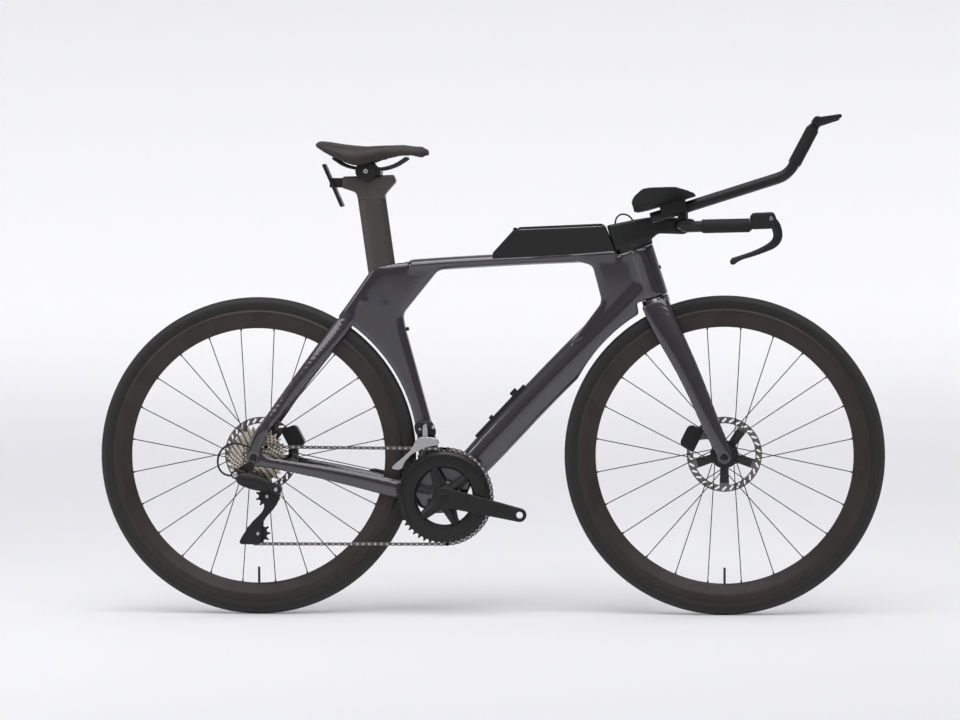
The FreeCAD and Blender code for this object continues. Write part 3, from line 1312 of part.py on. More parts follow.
def make_fittings(frame, stays):
    """Seat clamp wedge, derailleur hanger, down-tube strip with its bosses, and the small ports."""
    block = box("wedge_block", rear(290, 376, -9), 26, 18, 29)
    room = tube("wedge_room", [(post_at(height), ("post_depth", 1.0017), ("post_width", 1.0036))
                               for height in (470, 326)])
    bolt = rod("wedge_bolt", rear(306, 405), Vector(0, 0, 1), 4, 4)
    wedge = fused("wedge_set", [cut("wedge", block, room), bolt])
    hanger = plate("hanger", rear(0, 0, -size("rear_spacing") / 2 - 5),
                   [arm_outline((-7, -17), 8.5, (-37, -35), 9)], 6)
    hanger = cut("hanger_cut", hanger, stays)

    start = rear(468, 39)
    turn = Rotation(TUBE_ALONG, Vector(0, 1, 0), TUBE_OUT, "ZXY")
    strip = box("strip", Vector(), 150, 16, 12)
    strip.Placement = Placement(start, turn).multiply(Placement(Vector(0, -8, -7), Rotation()))
    step = box("strip_step", Vector(), 16, 14, 16)
    step.Placement = Placement(start, turn).multiply(Placement(Vector(116, -7, -3), Rotation()))
    boss = rod("strip_boss", start + TUBE_ALONG * 52, TUBE_OUT, 5, 10)
    strip = cut("strip_cut", fused("strip_solid", [strip, step, boss]), frame)
    screw = cut("seat_tube_screw", rod("seat_tube_rod", rear(306, 266), Vector(1, 0, 0.25), 4, 19), frame)
    port = rod("head_port_rod", steering(58, 22), STEER_AHEAD, 4, 10)
    port = cut("head_port", port, doc.getObject("head_tube"))
    return node(compound("fittings", [wedge, hanger, strip, screw, port]), "frame_fittings")


def make_cables(stays, base, stem):
    """The gear cable's loop behind the dropout, and the thin wire loop over the stem's tail."""
    route = [rear(-4, 20, -75), rear(-28, 31, -76), rear(-54, 29, -78), rear(-72, 13, -80),
             rear(-77, -10, -82), rear(-70, -29, -84), rear(-54, -38, -85.5), rear(-42, -37, -85.5)]
    loop = pipe("gear_cable", route, 2.2)
    node(cut("gear_cable_loop", loop, compound("gear_cable_ends", [stays, base])), "rear_shift_cable")
    route = [front(-229, 484, -14), front(-229, 500, -14), front(-219, 511, -14.5), front(-205, 511, -15),
             front(-193, 502, -15.5), front(-186, 488, -16)]
    wire = pipe("stem_wire", route, 1.8)
    node(cut("stem_wire_loop", wire, stem), "stem_cable")


def build():
    frame = make_frame()
    stays = make_stays(frame)
    make_bearings()
    make_axle("front", front(0, 0), size("front_spacing"), "front_thru_axle")
    make_axle("rear", rear(0, 0), size("rear_spacing"), "rear_thru_axle")
    make_wheels()
    make_cassette()
    make_cranks()
    make_chainrings()
    make_chain()
    derailleur_base = make_rear_derailleur()
    make_front_derailleur()
    make_fork()
    make_caliper("front", front(0, 0), size("front_rotor_line"), 153)
    make_caliper("rear", rear(0, 0), size("rear_rotor_line"), 27)
    base_bar = make_base_bar()
    stem = make_stem(base_bar)
    extensions = make_extensions()
    make_grips(base_bar, extensions)
    make_housings(base_bar)
    make_levers()
    make_arm_rests(base_bar, extensions)
    make_storage(doc.getObject("top_tube"))
    seatpost = make_seatpost()
    make_rear_bracket(seatpost)
    make_saddle(seatpost)
    make_fittings(frame, stays)
    make_cables(stays, derailleur_base, stem)
    doc.recompute()


def export():
    """Writes every sub-part, once all of them are sound."""
    for thing in doc.Objects:
        if "Invalid" in thing.State or "Error" in thing.State:
            raise RuntimeError("%s failed: %s" % (thing.Label, thing.State))
    for thing in NODES:
        if thing.Shape.isNull() or not thing.Shape.isValid():
            raise RuntimeError("%s has no sound shape" % thing.Label)
    os.makedirs("parts", exist_ok=True)
    for thing in NODES:
        thing.Shape.exportStep("parts/%s.step" % thing.Label)
        print(thing.Label, len(thing.Shape.Solids), "solids", round(thing.Shape.Volume), "cubic mm")


build()
export()
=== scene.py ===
"""A time trial bike in a plain pale studio."""
import json
import math

import bmesh
import bpy
from mathutils import Matrix, Quaternion, Vector


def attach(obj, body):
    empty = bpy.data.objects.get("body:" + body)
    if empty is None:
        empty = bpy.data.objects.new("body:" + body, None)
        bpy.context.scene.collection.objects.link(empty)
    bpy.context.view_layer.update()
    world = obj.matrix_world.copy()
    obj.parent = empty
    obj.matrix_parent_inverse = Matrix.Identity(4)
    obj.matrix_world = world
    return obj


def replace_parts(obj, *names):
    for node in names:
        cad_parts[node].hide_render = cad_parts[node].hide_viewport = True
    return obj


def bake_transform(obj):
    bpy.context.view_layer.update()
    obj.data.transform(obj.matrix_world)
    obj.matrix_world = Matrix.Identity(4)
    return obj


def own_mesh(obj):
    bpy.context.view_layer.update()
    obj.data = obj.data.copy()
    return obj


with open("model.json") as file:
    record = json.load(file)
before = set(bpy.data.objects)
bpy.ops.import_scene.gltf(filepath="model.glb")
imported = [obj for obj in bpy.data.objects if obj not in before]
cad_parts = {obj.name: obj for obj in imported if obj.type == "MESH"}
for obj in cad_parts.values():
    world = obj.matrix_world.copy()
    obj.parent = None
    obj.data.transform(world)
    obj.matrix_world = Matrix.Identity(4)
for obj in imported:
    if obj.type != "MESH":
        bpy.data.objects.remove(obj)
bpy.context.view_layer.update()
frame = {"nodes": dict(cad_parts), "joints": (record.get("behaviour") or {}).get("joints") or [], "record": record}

MM = 0.001
NODES = frame["nodes"]
JOINTS = {joint["name"]: joint for joint in frame["joints"]}


def pivot(joint):
    return Vector(JOINTS[joint]["pos_m"])


REAR_AXLE = pivot("rear_wheel_spin")
FRONT_AXLE = pivot("front_wheel_spin")
CRANK_AXLE = pivot("crank_spin")


def from_rear(x, z, y=0.0):
    """A point by its distance from the rear axle, in millimetres."""
    return REAR_AXLE + Vector((x, y, z)) * MM


def from_front(x, z, y=0.0):
    """A point by its distance from the front axle, in millimetres."""
    return FRONT_AXLE + Vector((x, y, z)) * MM


# Camera and new objects

PHOTO_WIDTH = 960
FOCAL_PIXELS = 3544.5
SENSOR = 36.0
CAMERA_PLACE = Vector((0.52625, -7.50706, 0.79840))
CAMERA_YAW = 0.07275
CAMERA_DIP = 0.0341
CAMERA_ROLL = 0.0046
CAMERA_REACH = 100.0


def set_camera():
    data = bpy.data.cameras.new("camera")
    data.sensor_fit = "HORIZONTAL"
    data.sensor_width = SENSOR
    data.lens = FOCAL_PIXELS * SENSOR / PHOTO_WIDTH
    data.clip_end = CAMERA_REACH
    camera = link(bpy.data.objects.new("camera", data))
    level = math.cos(CAMERA_DIP)
    ahead = Vector((-math.sin(CAMERA_YAW) * level, math.cos(CAMERA_YAW) * level, -math.sin(CAMERA_DIP)))
    roll = Quaternion(ahead, CAMERA_ROLL)
    turn = roll @ ahead.to_track_quat("-Z", "Y")
    camera.matrix_world = Matrix.Translation(CAMERA_PLACE) @ turn.to_matrix().to_4x4()
    bpy.context.scene.camera = camera


def link(thing):
    bpy.context.scene.collection.objects.link(thing)
    return thing


def mesh_piece(name, points, faces, edges=()):
    """A new mesh object at the origin, with its place in its points."""
    data = bpy.data.meshes.new(name)
    data.from_pydata([tuple(p) for p in points], list(edges), faces)
    data.validate()
    data.update()
    return link(bpy.data.objects.new(name, data))


# Node trees

class Value:
    """An output socket of a node tree; Python's operators add Math nodes."""

    def __init__(self, nodes, socket):
        self.nodes = nodes
        self.socket = socket

    def other(self, output):
        """Another output of the same node."""
        return Value(self.nodes, self.socket.node.outputs[output])

    def math(self, operation, first, second=0.0):
        return self.nodes.add("ShaderNodeMath", {"operation": operation}, {0: first, 1: second})

    def __add__(self, other):
        return self.math("ADD", self, other)

    def __sub__(self, other):
        return self.math("SUBTRACT", self, other)

    def __rsub__(self, other):
        return self.math("SUBTRACT", other, self)

    def __mul__(self, other):
        return self.math("MULTIPLY", self, other)

    def __truediv__(self, other):
        return self.math("DIVIDE", self, other)

    def __pow__(self, other):
        return self.math("POWER", self, other)

    def __mod__(self, other):
        return self.math("FLOORED_MODULO", self, other)


class Nodes:
    """A node tree that is filled one node at a time."""

    def __init__(self, tree):
        self.tree = tree

    def add(self, kind, settings=None, inputs=None, output=0):
        made = self.tree.nodes.new(kind)
        for name, setting in (settings or {}).items():
            setattr(made, name, setting)
        for name, given in (inputs or {}).items():
            if isinstance(given, Value):
                self.tree.links.new(given.socket, made.inputs[name])
            else:
                made.inputs[name].default_value = given
        return Value(self, made.outputs[output])


SOCKETS = {"specular": "Specular IOR Level", "coat_ior": "Coat IOR"}
EDGE_SAMPLES = 6


class Finish(Nodes):
    """A surface finish round one Principled shader."""

    def __init__(self, name, colour, roughness, **constants):
        self.material = bpy.data.materials.new(name)
        self.material.use_nodes = True
        super().__init__(self.material.node_tree)
        self.shader = self.tree.nodes["Principled BSDF"]
        self.shader.inputs["Base Color"].default_value = (*colour, 1.0)
        self.shader.inputs["Roughness"].default_value = roughness
        for word, number in constants.items():
            socket = SOCKETS.get(word, word.replace("_", " ").title())
            self.shader.inputs[socket].default_value = number
        self.place = self.add("ShaderNodeTexCoord", output="Object")

    def drive(self, socket, value):
        self.tree.links.new(value.socket, self.shader.inputs[socket])

    def axis(self, letter):
        return self.add("ShaderNodeSeparateXYZ", None, {0: self.place}, "XYZ".index(letter))

    def stretched(self, x, y, z):
        """The place scaled differently along each axis, for grain that runs one way."""
        return self.add("ShaderNodeMapping", None, {"Vector": self.place, "Scale": (x, y, z)})

    def noise(self, scale, detail=2.0, place=None):
        return self.add("ShaderNodeTexNoise", None,
                        {"Vector": place or self.place, "Scale": scale, "Detail": detail})

    def cells(self, scale):
        return self.add("ShaderNodeTexVoronoi", None, {"Vector": self.place, "Scale": scale})

    def fade(self, value, low, high, start=0.0, end=1.0):
        """A smooth step of a value from low to high."""
        return self.add("ShaderNodeMapRange", {"interpolation_type": "SMOOTHSTEP"},
                        {0: value, 1: low, 2: high, 3: start, 4: end})

    def mix(self, share, first, second):
        """A colour between two colours."""
        shades = [shade if isinstance(shade, Value) else (*shade, 1.0) for shade in (first, second)]
        return self.add("ShaderNodeMix", {"data_type": "RGBA"}, {0: share, 6: shades[0], 7: shades[1]}, 2)

    def edge(self, radius):
        """Normals that round the sharp edges by that radius, in millimetres."""
        return self.add("ShaderNodeBevel", {"samples": EDGE_SAMPLES}, {"Radius": radius * MM})

    def bump(self, height, depth, normal=None):
        """Relief of a height between 0 and 1 and a depth in millimetres."""
        inputs = {"Height": height, "Distance": depth * MM, "Strength": 1.0}
        if normal:
            inputs["Normal"] = normal
        self.drive("Normal", self.add("ShaderNodeBump", None, inputs))

    def reach(self, centre):
        """Distance from a wheel's axle, in metres."""
        across = self.axis("X") - centre.x
        up = self.axis("Z") - centre.z
        return (across * across + up * up) ** 0.5

    def turn(self, centre):
        """Angle round a wheel's axle, in radians."""
        return self.axis("X").math("ARCTAN2", self.axis("Z") - centre.z, self.axis("X") - centre.x)


# Finishes

SPROCKET_STEP = 4.3
SIDEWALL_END = 0.326
TREAD_START = 0.330
CARRIER_END = 0.0605
TRACK_START = 0.0615


def frame_paint():
    """Dark violet-grey metallic paint under a clear coat."""
    finish = Finish("frame_paint", (0.024, 0.020, 0.026), 0.34, metallic=0.5, coat_weight=1.0,
                    coat_roughness=0.05, coat_ior=1.7)
    flakes = finish.cells(2600.0)
    cloud = finish.noise(9.0, 3.0)
    base = finish.mix(cloud, (0.020, 0.017, 0.022), (0.028, 0.024, 0.030))
    finish.drive("Base Color", finish.mix(finish.fade(flakes, 0.1, 0.0) * 0.3, base, (0.10, 0.09, 0.11)))
    finish.drive("Roughness", finish.noise(60.0) * 0.08 + 0.30)
    finish.bump(finish.noise(900.0, 1.0), 0.015, finish.edge(2.0))
    return finish.material


def post_paint():
    finish = Finish("post_paint", (0.075, 0.066, 0.060), 0.42, metallic=0.25, coat_weight=0.3,
                    coat_roughness=0.3)
    cloud = finish.noise(30.0, 4.0)
    finish.drive("Base Color", finish.mix(cloud, (0.044, 0.038, 0.035), (0.060, 0.053, 0.049)))
    finish.drive("Roughness", finish.noise(120.0) * 0.14 + 0.36)
    finish.bump(finish.noise(1500.0, 1.0), 0.02, finish.edge(1.0))
    return finish.material


def satin_carbon(word, centre):
    """Unpainted carbon rim: plies laid round the hoop under a satin skin."""
    finish = Finish("satin_carbon_" + word, (0.03, 0.024, 0.021), 0.45, specular=0.35)
    round_hoop = finish.add("ShaderNodeCombineXYZ", None, {0: finish.turn(centre) * 7.0,
                                                           1: finish.reach(centre) * 18.0,
                                                           2: finish.axis("Y") * 20.0})
    plies = finish.add("ShaderNodeTexVoronoi", None, {"Vector": round_hoop, "Scale": 1.3}, "Color")
    tone = finish.add("ShaderNodeSeparateColor", None, {0: plies}, 0)
    fibres = finish.noise(420.0, 2.0, finish.add("ShaderNodeVectorMath", {"operation": "MULTIPLY"},
                                                {0: round_hoop, 1: (0.06, 1.0, 1.0)}))
    shade = tone * 0.55 + fibres * 0.45
    finish.drive("Base Color", finish.mix(shade, (0.018, 0.013, 0.011), (0.030, 0.023, 0.020)))
    finish.drive("Roughness", fibres * 0.12 + 0.36)
    finish.bump(fibres, 0.02, finish.edge(0.6))
    return finish.material


def tyre_rubber(word, centre):
    """Black rubber: a smooth tread with fine lines, and a fabric side wall."""
    finish = Finish("tyre_rubber_" + word, (0.016, 0.016, 0.016), 0.72, specular=0.3)
    wall = finish.fade(finish.reach(centre), TREAD_START, SIDEWALL_END)
    weave = finish.noise(1400.0, 2.0)
    finish.drive("Base Color", finish.mix(wall, (0.028, 0.026, 0.025), (0.018, 0.017, 0.016)))
    finish.drive("Roughness", weave * 0.16 + 0.60)
    finish.bump(weave, 0.06)
    return finish.material


def black_alloy():
    finish = Finish("black_alloy", (0.012, 0.012, 0.012), 0.38, specular=0.3)
    cloud = finish.noise(55.0, 3.0)
    finish.drive("Base Color", finish.mix(cloud, (0.009, 0.009, 0.009), (0.015, 0.015, 0.015)))
    finish.drive("Roughness", finish.noise(160.0) * 0.16 + 0.32)
    finish.bump(finish.noise(2200.0, 1.0), 0.02, finish.edge(0.7))
    return finish.material


def black_ring():
    finish = Finish("black_ring", (0.014, 0.014, 0.014), 0.34, metallic=0.4)
    outwards = finish.add("ShaderNodeCombineXYZ", None, {0: finish.reach(CRANK_AXLE) * 60.0})
    swirl = finish.noise(40.0, 2.0, outwards)
    finish.drive("Base Color", finish.mix(swirl, (0.009, 0.009, 0.009), (0.020, 0.020, 0.020)))
    finish.drive("Roughness", swirl * 0.15 + 0.28)
    finish.bump(swirl, 0.02, finish.edge(0.4))
    return finish.material


def black_steel():
    finish = Finish("black_steel", (0.02, 0.02, 0.02), 0.35, metallic=0.6)
    finish.drive("Roughness", finish.noise(300.0) * 0.15 + 0.28)
    return finish.material


def bare_metal(name, dark, light, roughness, grain, edge):
    """Bare metal with fine machining grain."""
    finish = Finish(name, light, roughness, metallic=1.0)
    lines = finish.noise(grain, 3.0, finish.stretched(1.0, 8.0, 1.0))
    finish.drive("Base Color", finish.mix(lines, dark, light))
    finish.drive("Roughness", lines * 0.18 + (roughness - 0.09))
    finish.bump(lines, 0.015, finish.edge(edge))
    return finish.material


def chain_steel():
    """Steel links: dark plates, bright pins and rollers."""
    finish = Finish("chain_steel", (0.2, 0.19, 0.18), 0.34, metallic=1.0)
    pin = finish.add("ShaderNodeAttribute", {"attribute_name": "pin"}, None, "Fac")
    grease = finish.noise(500.0, 2.0)
    plate = finish.mix(grease, (0.10, 0.095, 0.09), (0.20, 0.19, 0.18))
    finish.drive("Base Color", finish.mix(pin, plate, (0.72, 0.70, 0.67)))
    finish.drive("Roughness", grease * 0.2 + 0.25)
    return finish.material


def cassette_steel():
    """Nickel-plated sprockets: painted glints on rows of teeth, with painted shade in the gaps between them."""
    finish = Finish("cassette_steel", (0.6, 0.55, 0.47), 0.32, metallic=1.0)
    row = finish.reach(REAR_AXLE) / (SPROCKET_STEP * MM)
    index = row.math("FLOOR", row)
    tooth = row.math("SINE", finish.turn(REAR_AXLE) * (index * 2.0 + 5.0) + index * 2.1)
    # Painted light: glints along the teeth, and painted shade at the start of each sprocket step
    painted_glint_share = finish.fade(tooth, -0.9, -0.1) * finish.fade(row % 1.0, 0.0, 0.3)
    grain = finish.noise(240.0, 3.0)
    steel = finish.mix(grain, (0.70, 0.64, 0.54), (0.95, 0.89, 0.78))
    # The dark colour is painted shade in the gaps between teeth and sprockets
    finish.drive("Base Color", finish.mix(painted_glint_share, (0.14, 0.125, 0.10), steel))
    finish.drive("Roughness", grain * 0.2 + 0.22)
    return finish.material


def rotor_steel(word, centre):
    """Ground steel braking track on a black carrier."""
    finish = Finish("rotor_steel_" + word, (0.55, 0.54, 0.52), 0.3)
    reach = finish.reach(centre)
    rings = finish.noise(900.0, 2.0, finish.add("ShaderNodeCombineXYZ", None, {0: reach}))
    track = finish.fade(reach, CARRIER_END, TRACK_START)
    finish.drive("Metallic", track * 0.9 + 0.1)
    steel = finish.mix(rings, (0.13, 0.125, 0.12), (0.26, 0.25, 0.24))
    finish.drive("Base Color", finish.mix(track, (0.02, 0.02, 0.02), steel))
    finish.drive("Roughness", rings * 0.2 + 0.24)
    finish.bump(rings, 0.02, finish.edge(0.3))
    return finish.material


def moulded_plastic(name, colour, roughness, grain, depth, edge):
    """Moulded plastic with a fine eroded texture."""
    finish = Finish(name, colour, roughness, specular=0.3)
    eroded = finish.noise(grain, 3.0)
    cloud = finish.noise(14.0, 2.0)
    darker = tuple(part * 0.75 for part in colour)
    finish.drive("Base Color", finish.mix(cloud, darker, colour))
    finish.drive("Roughness", eroded * 0.16 + (roughness - 0.08))
    finish.bump(eroded, depth, finish.edge(edge))
    return finish.material


def leather():
    finish = Finish("saddle_leather", (0.020, 0.019, 0.018), 0.55, specular=0.4)
    grain = finish.cells(900.0)
    cloud = finish.noise(40.0, 3.0)
    finish.drive("Base Color", finish.mix(cloud, (0.017, 0.014, 0.012), (0.030, 0.026, 0.023)))
    finish.drive("Roughness", grain * 0.2 + 0.45)
    finish.bump(grain, 0.08)
    return finish.material


# Studio

HORIZON = 0.16
ZENITH = 0.44
SKY_TOP = 0.8
SKY_TINT = (0.97, 0.97, 1.0, 1.0)
FLOOR_HALF = 40.0
FLOOR_NEAR = -60.0
WALL_FAR = 9.0
WALL_TOP = 9.0
WALL_BEND = 2.5
BEND_STEPS = 16
SUN_LEVEL = 1.75
SUN_SPREAD = 60
SUN_WAY = Vector((-0.1, 0.7, -1.0))
# Name, place, aim, width, height and watts of each lamp
LAMPS = (("top_strip", (0.1, -0.2, 3.0), (0.0, 0.0, 0.6), 3.0, 0.5, 20.0),
         ("rear_strip", (-2.6, -1.6, 1.5), (-0.2, 0.0, 0.6), 0.5, 1.6, 12.0))


def studio():
    """A paper sweep, a sky that is brighter overhead, a soft sun and two lamps."""
    backdrop = Finish("studio_paper", (0.86, 0.86, 0.875), 0.9)
    floor = backdrop.mix(backdrop.noise(0.4), (0.77, 0.77, 0.785), (0.79, 0.79, 0.805))
    # Painted light: the wall is painted lighter than the floor, where the lamps light it less
    height = backdrop.fade(backdrop.axis("Z"), -0.3, 0.5)
    backdrop.drive("Base Color", backdrop.mix(height, floor, (0.94, 0.94, 0.95)))
    profile = [(FLOOR_NEAR, 0.0)]
    for step in range(BEND_STEPS + 1):
        angle = math.pi / 2 * step / BEND_STEPS
        profile.append((WALL_FAR + WALL_BEND * math.sin(angle), WALL_BEND - WALL_BEND * math.cos(angle)))
    profile.append((WALL_FAR + WALL_BEND, WALL_TOP))
    points = [(x, y, z) for y, z in profile for x in (-FLOOR_HALF, FLOOR_HALF)]
    faces = [(2 * i, 2 * i + 1, 2 * i + 3, 2 * i + 2) for i in range(len(profile) - 1)]
    paper = mesh_piece("studio_floor", points, faces)
    for face in paper.data.polygons:
        face.use_smooth = True
    paper.data.materials.append(backdrop.material)

    world = bpy.data.worlds.new("studio_world")
    world.use_nodes = True
    sky = Nodes(world.node_tree)
    heading = sky.add("ShaderNodeTexCoord", output="Generated")
    upwards = sky.add("ShaderNodeSeparateXYZ", None, {0: heading}, "Z")
    level = sky.add("ShaderNodeMapRange", None, {0: upwards, 1: 0.0, 2: SKY_TOP, 3: HORIZON, 4: ZENITH})
    ground = world.node_tree.nodes["Background"]
    ground.inputs["Color"].default_value = SKY_TINT
    world.node_tree.links.new(level.socket, ground.inputs["Strength"])
    bpy.context.scene.world = world

    sun = bpy.data.lights.new("soft_sun", "SUN")
    sun.energy = SUN_LEVEL
    sun.angle = math.radians(SUN_SPREAD)
    thing = link(bpy.data.objects.new("soft_sun", sun))
    thing.matrix_world = SUN_WAY.to_track_quat("-Z", "Y").to_matrix().to_4x4()
    for row in LAMPS:
        lamp(*row)


def lamp(name, place, aim, wide, high, watts):
    data = bpy.data.lights.new(name, "AREA")
    data.shape = "RECTANGLE"
    data.size = wide
    data.size_y = high
    data.energy = watts
    thing = link(bpy.data.objects.new(name, data))
    turn = (Vector(aim) - Vector(place)).to_track_quat("-Z", "Y")
    thing.matrix_world = Matrix.Translation(Vector(place)) @ turn.to_matrix().to_4x4()


def dress_nodes():
    """Gives each carried-over piece its finish."""
    finishes = {
        "frame_paint": frame_paint(),
        "post_paint": post_paint(),
        "black_alloy": black_alloy(),
        "black_ring": black_ring(),
        "black_steel": black_steel(),
        "cassette_steel": cassette_steel(),
        "chain_steel": chain_steel(),
        "bright_cage": bare_metal("bright_cage", (0.40, 0.40, 0.41), (0.66, 0.66, 0.67), 0.24, 200.0, 0.4),
        "black_plastic": moulded_plastic("black_plastic", (0.013, 0.013, 0.013), 0.5, 1300.0, 0.05, 0.9),
        "brake_compound": moulded_plastic("brake_compound", (0.06, 0.05, 0.045), 0.8, 900.0, 0.1, 0.3),
        "grip_rubber": moulded_plastic("grip_rubber", (0.014, 0.014, 0.014), 0.7, 800.0, 0.08, 0.5),
        "arm_pad_foam": moulded_plastic("arm_pad_foam", (0.017, 0.017, 0.017), 0.85, 500.0, 0.2, 1.0),
        "saddle_leather": leather(),
    }
    for word, centre in (("front", FRONT_AXLE), ("rear", REAR_AXLE)):
        finishes["satin_carbon_" + word] = satin_carbon(word, centre)
        finishes["tyre_rubber_" + word] = tyre_rubber(word, centre)
        finishes["rotor_steel_" + word] = rotor_steel(word, centre)
    for subpart in frame["record"]["subparts"]:
        node, slot = subpart["node"], subpart["material_slot"]
        word = node.split("_")[0]
        finish = finishes.get(slot) or finishes[slot + "_" + word]
        slots = NODES[node].data.materials
        slots.clear()
        slots.append(finish)
    return finishes


# Mesh building

WELD = 0.01


def eased(before, here, after, later, t):
    """A point at share t from here to after, on a smooth curve through all four."""
    return (here + (after - before) * (0.5 * t) + (before * 2 - here * 5 + after * 4 - later) * (0.5 * t * t)
            + (here * 3 - before - after * 3 + later) * (0.5 * t ** 3))


def outline_from(axle, points, steps=6):
    """A smooth closed side-view outline through points in millimetres from an axle, in metres."""
    places = [Vector((axle.x + x * MM, axle.z + z * MM)) for x, z in points]
    if steps == 1:
        return places
    count = len(places)
    smooth = []
    for index in range(count):
        four = [places[(index + shift) % count] for shift in (-1, 0, 1, 2)]
        smooth.extend(eased(*four, step / steps) for step in range(steps))
    return smooth


def flow(stations, steps=6):
    """A smooth open run through stations of place and radius."""
    ends = [stations[0] * 2 - stations[1]] + stations + [stations[-1] * 2 - stations[-2]]
    run = []
    for four in zip(ends, ends[1:], ends[2:], ends[3:]):
        run.extend(eased(*four, step / steps) for step in range(steps))
    return run + [stations[-1]]


def inset(outline, depth):
    """The outline moved inwards along its corners' normals."""
    area = sum(a.x * b.y - b.x * a.y for a, b in zip(outline, outline[1:] + outline[:1]))
    way = 1.0 if area > 0 else -1.0
    moved = []
    for before, here, after in zip(outline[-1:] + outline[:-1], outline, outline[1:] + outline[:1]):
        along = (after - before).normalized()
        moved.append(here + Vector((-along.y, along.x)) * (depth * way))
    return moved


class Build:
    """The points and faces of one piece, gathered shape by shape, in metres."""

    def __init__(self):
        self.points = []
        self.faces = []

    def rows(self, loops, capped=True, joined=False):
        """A skin over a row of loops with as many points each."""
        first, count = len(self.points), len(loops[0])
        for loop in loops:
            self.points.extend(Vector(point) for point in loop)
        for row in range(len(loops) - (0 if joined else 1)):
            below = first + row * count
            above = first + (row + 1) % len(loops) * count
            for index in range(count):
                after = (index + 1) % count
                self.faces.append((below + index, below + after, above + after, above + index))
        if capped:
            last = first + (len(loops) - 1) * count
            self.faces.append(tuple(range(first + count - 1, first - 1, -1)))
            self.faces.append(tuple(range(last, last + count)))
        return self

    def slab(self, outline, near, far, rim=0.5):
        """A plate in side view between two distances across in millimetres, with chamfered rims."""
        tight = inset(outline, rim * MM)
        levels = ((tight, near), (outline, near + rim), (outline, far - rim), (tight, far))
        return self.rows([[(p.x, y * MM, p.y) for p in loop] for loop, y in levels])

    def turned(self, centre, profile, steps=32, axis=(0, 1, 0)):
        """A round body about an axis; profile is (radius, distance along) in millimetres."""
        axis = Vector(axis)
        side = axis.orthogonal().normalized()
        up = axis.cross(side)
        angles = [2 * math.pi * step / steps for step in range(steps)]
        spokes = [side * math.cos(angle) + up * math.sin(angle) for angle in angles]
        return self.rows([[centre + axis * (along * MM) + spoke * (radius * MM) for spoke in spokes]
                          for radius, along in profile])

    def hoop(self, centre, section, steps=96):
        """A ring about the cross axis; section is a closed (radius, across) outline in millimetres."""
        loops = []
        for step in range(steps):
            angle = 2 * math.pi * step / steps
            loops.append([centre + Vector((math.cos(angle) * radius, across, math.sin(angle) * radius)) * MM
                          for radius, across in section])
        return self.rows(loops, capped=False, joined=True)

    def tube(self, path, radii, sides=14, flat=1.0):
        """A rounded bar along a path; flat narrows it across the bike."""
        loops = []
        for index, place in enumerate(path):
            along = (path[min(index + 1, len(path) - 1)] - path[max(index - 1, 0)]).normalized()
            across = Vector((0, 1, 0))
            up = along.cross(across).normalized()
            across = up.cross(along)
            loops.append([place + (across * (math.cos(2 * math.pi * s / sides) * flat)
                                   + up * math.sin(2 * math.pi * s / sides)) * (radii[index] * MM)
                          for s in range(sides)])
        return self.rows(loops)

    def template(self, name):
        """The shape alone, for Geometry Nodes or for settling."""
        thing = mesh_piece(name, self.points, self.faces)
        shape = bmesh.new()
        shape.from_mesh(thing.data)
        bmesh.ops.recalc_face_normals(shape, faces=shape.faces)
        shape.to_mesh(thing.data)
        shape.free()
        return thing

    def piece(self, name, body, finish, slot, angle=35.0):
        return settle(self.template(name), body, finish, angle)


def settle(thing, body, finish, angle=180.0):
    """Smooth shading up to an angle, a finish, and the body that the piece moves with, if it has one."""
    for face in thing.data.polygons:
        face.use_smooth = True
    if angle < 180.0:
        thing.data.set_sharp_from_angle(angle=math.radians(angle))
    thing.data.materials.clear()
    thing.data.materials.append(finish)
    if body:
        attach(thing, body)
    return thing


def clone(name, *nodes):
    """One closed mesh of carried-over pieces."""
    shape = bmesh.new()
    for node in nodes:
        shape.from_mesh(NODES[node].data)
    bmesh.ops.remove_doubles(shape, verts=shape.verts, dist=WELD * MM)
    data = bpy.data.meshes.new(name)
    shape.to_mesh(data)
    shape.free()
    return link(bpy.data.objects.new(name, data))


def bake(thing):
    """Turns a piece's modifiers into plain mesh."""
    bpy.context.view_layer.update()
    graph = bpy.context.evaluated_depsgraph_get()
    data = bpy.data.meshes.new_from_object(thing.evaluated_get(graph))
    thing.modifiers.clear()
    thing.data = data
    return thing


def remesh(thing, voxel):
    grid = thing.modifiers.new("grid", "REMESH")
    grid.mode = "VOXEL"
    grid.voxel_size = voxel * MM
    grid.use_smooth_shade = True
    return thing


def smooth(thing, rounds, axes="XYZ"):
    """Rounds the edges by averaging neighbours along some axes only."""
    soften = thing.modifiers.new("soften", "SMOOTH")
    soften.factor = 0.5
    soften.iterations = rounds
    soften.use_x, soften.use_y, soften.use_z = (letter in axes for letter in "XYZ")
    return thing


def skin(name, nodes, body, finish, voxel, across, around, fit=None):
    """A moulded skin in place of CAD pieces, with edges rounded mostly across the bike."""
    thing = bake(remesh(clone(name, *nodes), voxel))
    if fit:
        refit(thing, *fit)
    smooth(thing, across, "Y")
    smooth(thing, around)
    bake(thing)
    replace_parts(thing, *nodes)
    return settle(thing, body, finish)


def between(table, x):
    """The row of a table at x, read in a straight line between its neighbours."""
    if x <= table[0][0]:
        return table[0]
    for low, high in zip(table, table[1:]):
        if x <= high[0]:
            share = (x - low[0]) / (high[0] - low[0])
            return tuple(a + (b - a) * share for a, b in zip(low, high))
    return table[-1]


def refit(thing, axle, table):
    """Moves a piece's top and bottom lines, given along the bike as old and new heights in millimetres."""
    for vertex in thing.data.vertices:
        row = between(table, (vertex.co.x - axle.x) / MM)
        share = ((vertex.co.z - axle.z) / MM - row[2]) / (row[1] - row[2])
        vertex.co.z = axle.z + (row[4] + (row[3] - row[4]) * share) * MM
    thing.data.update()


# Geometry Nodes

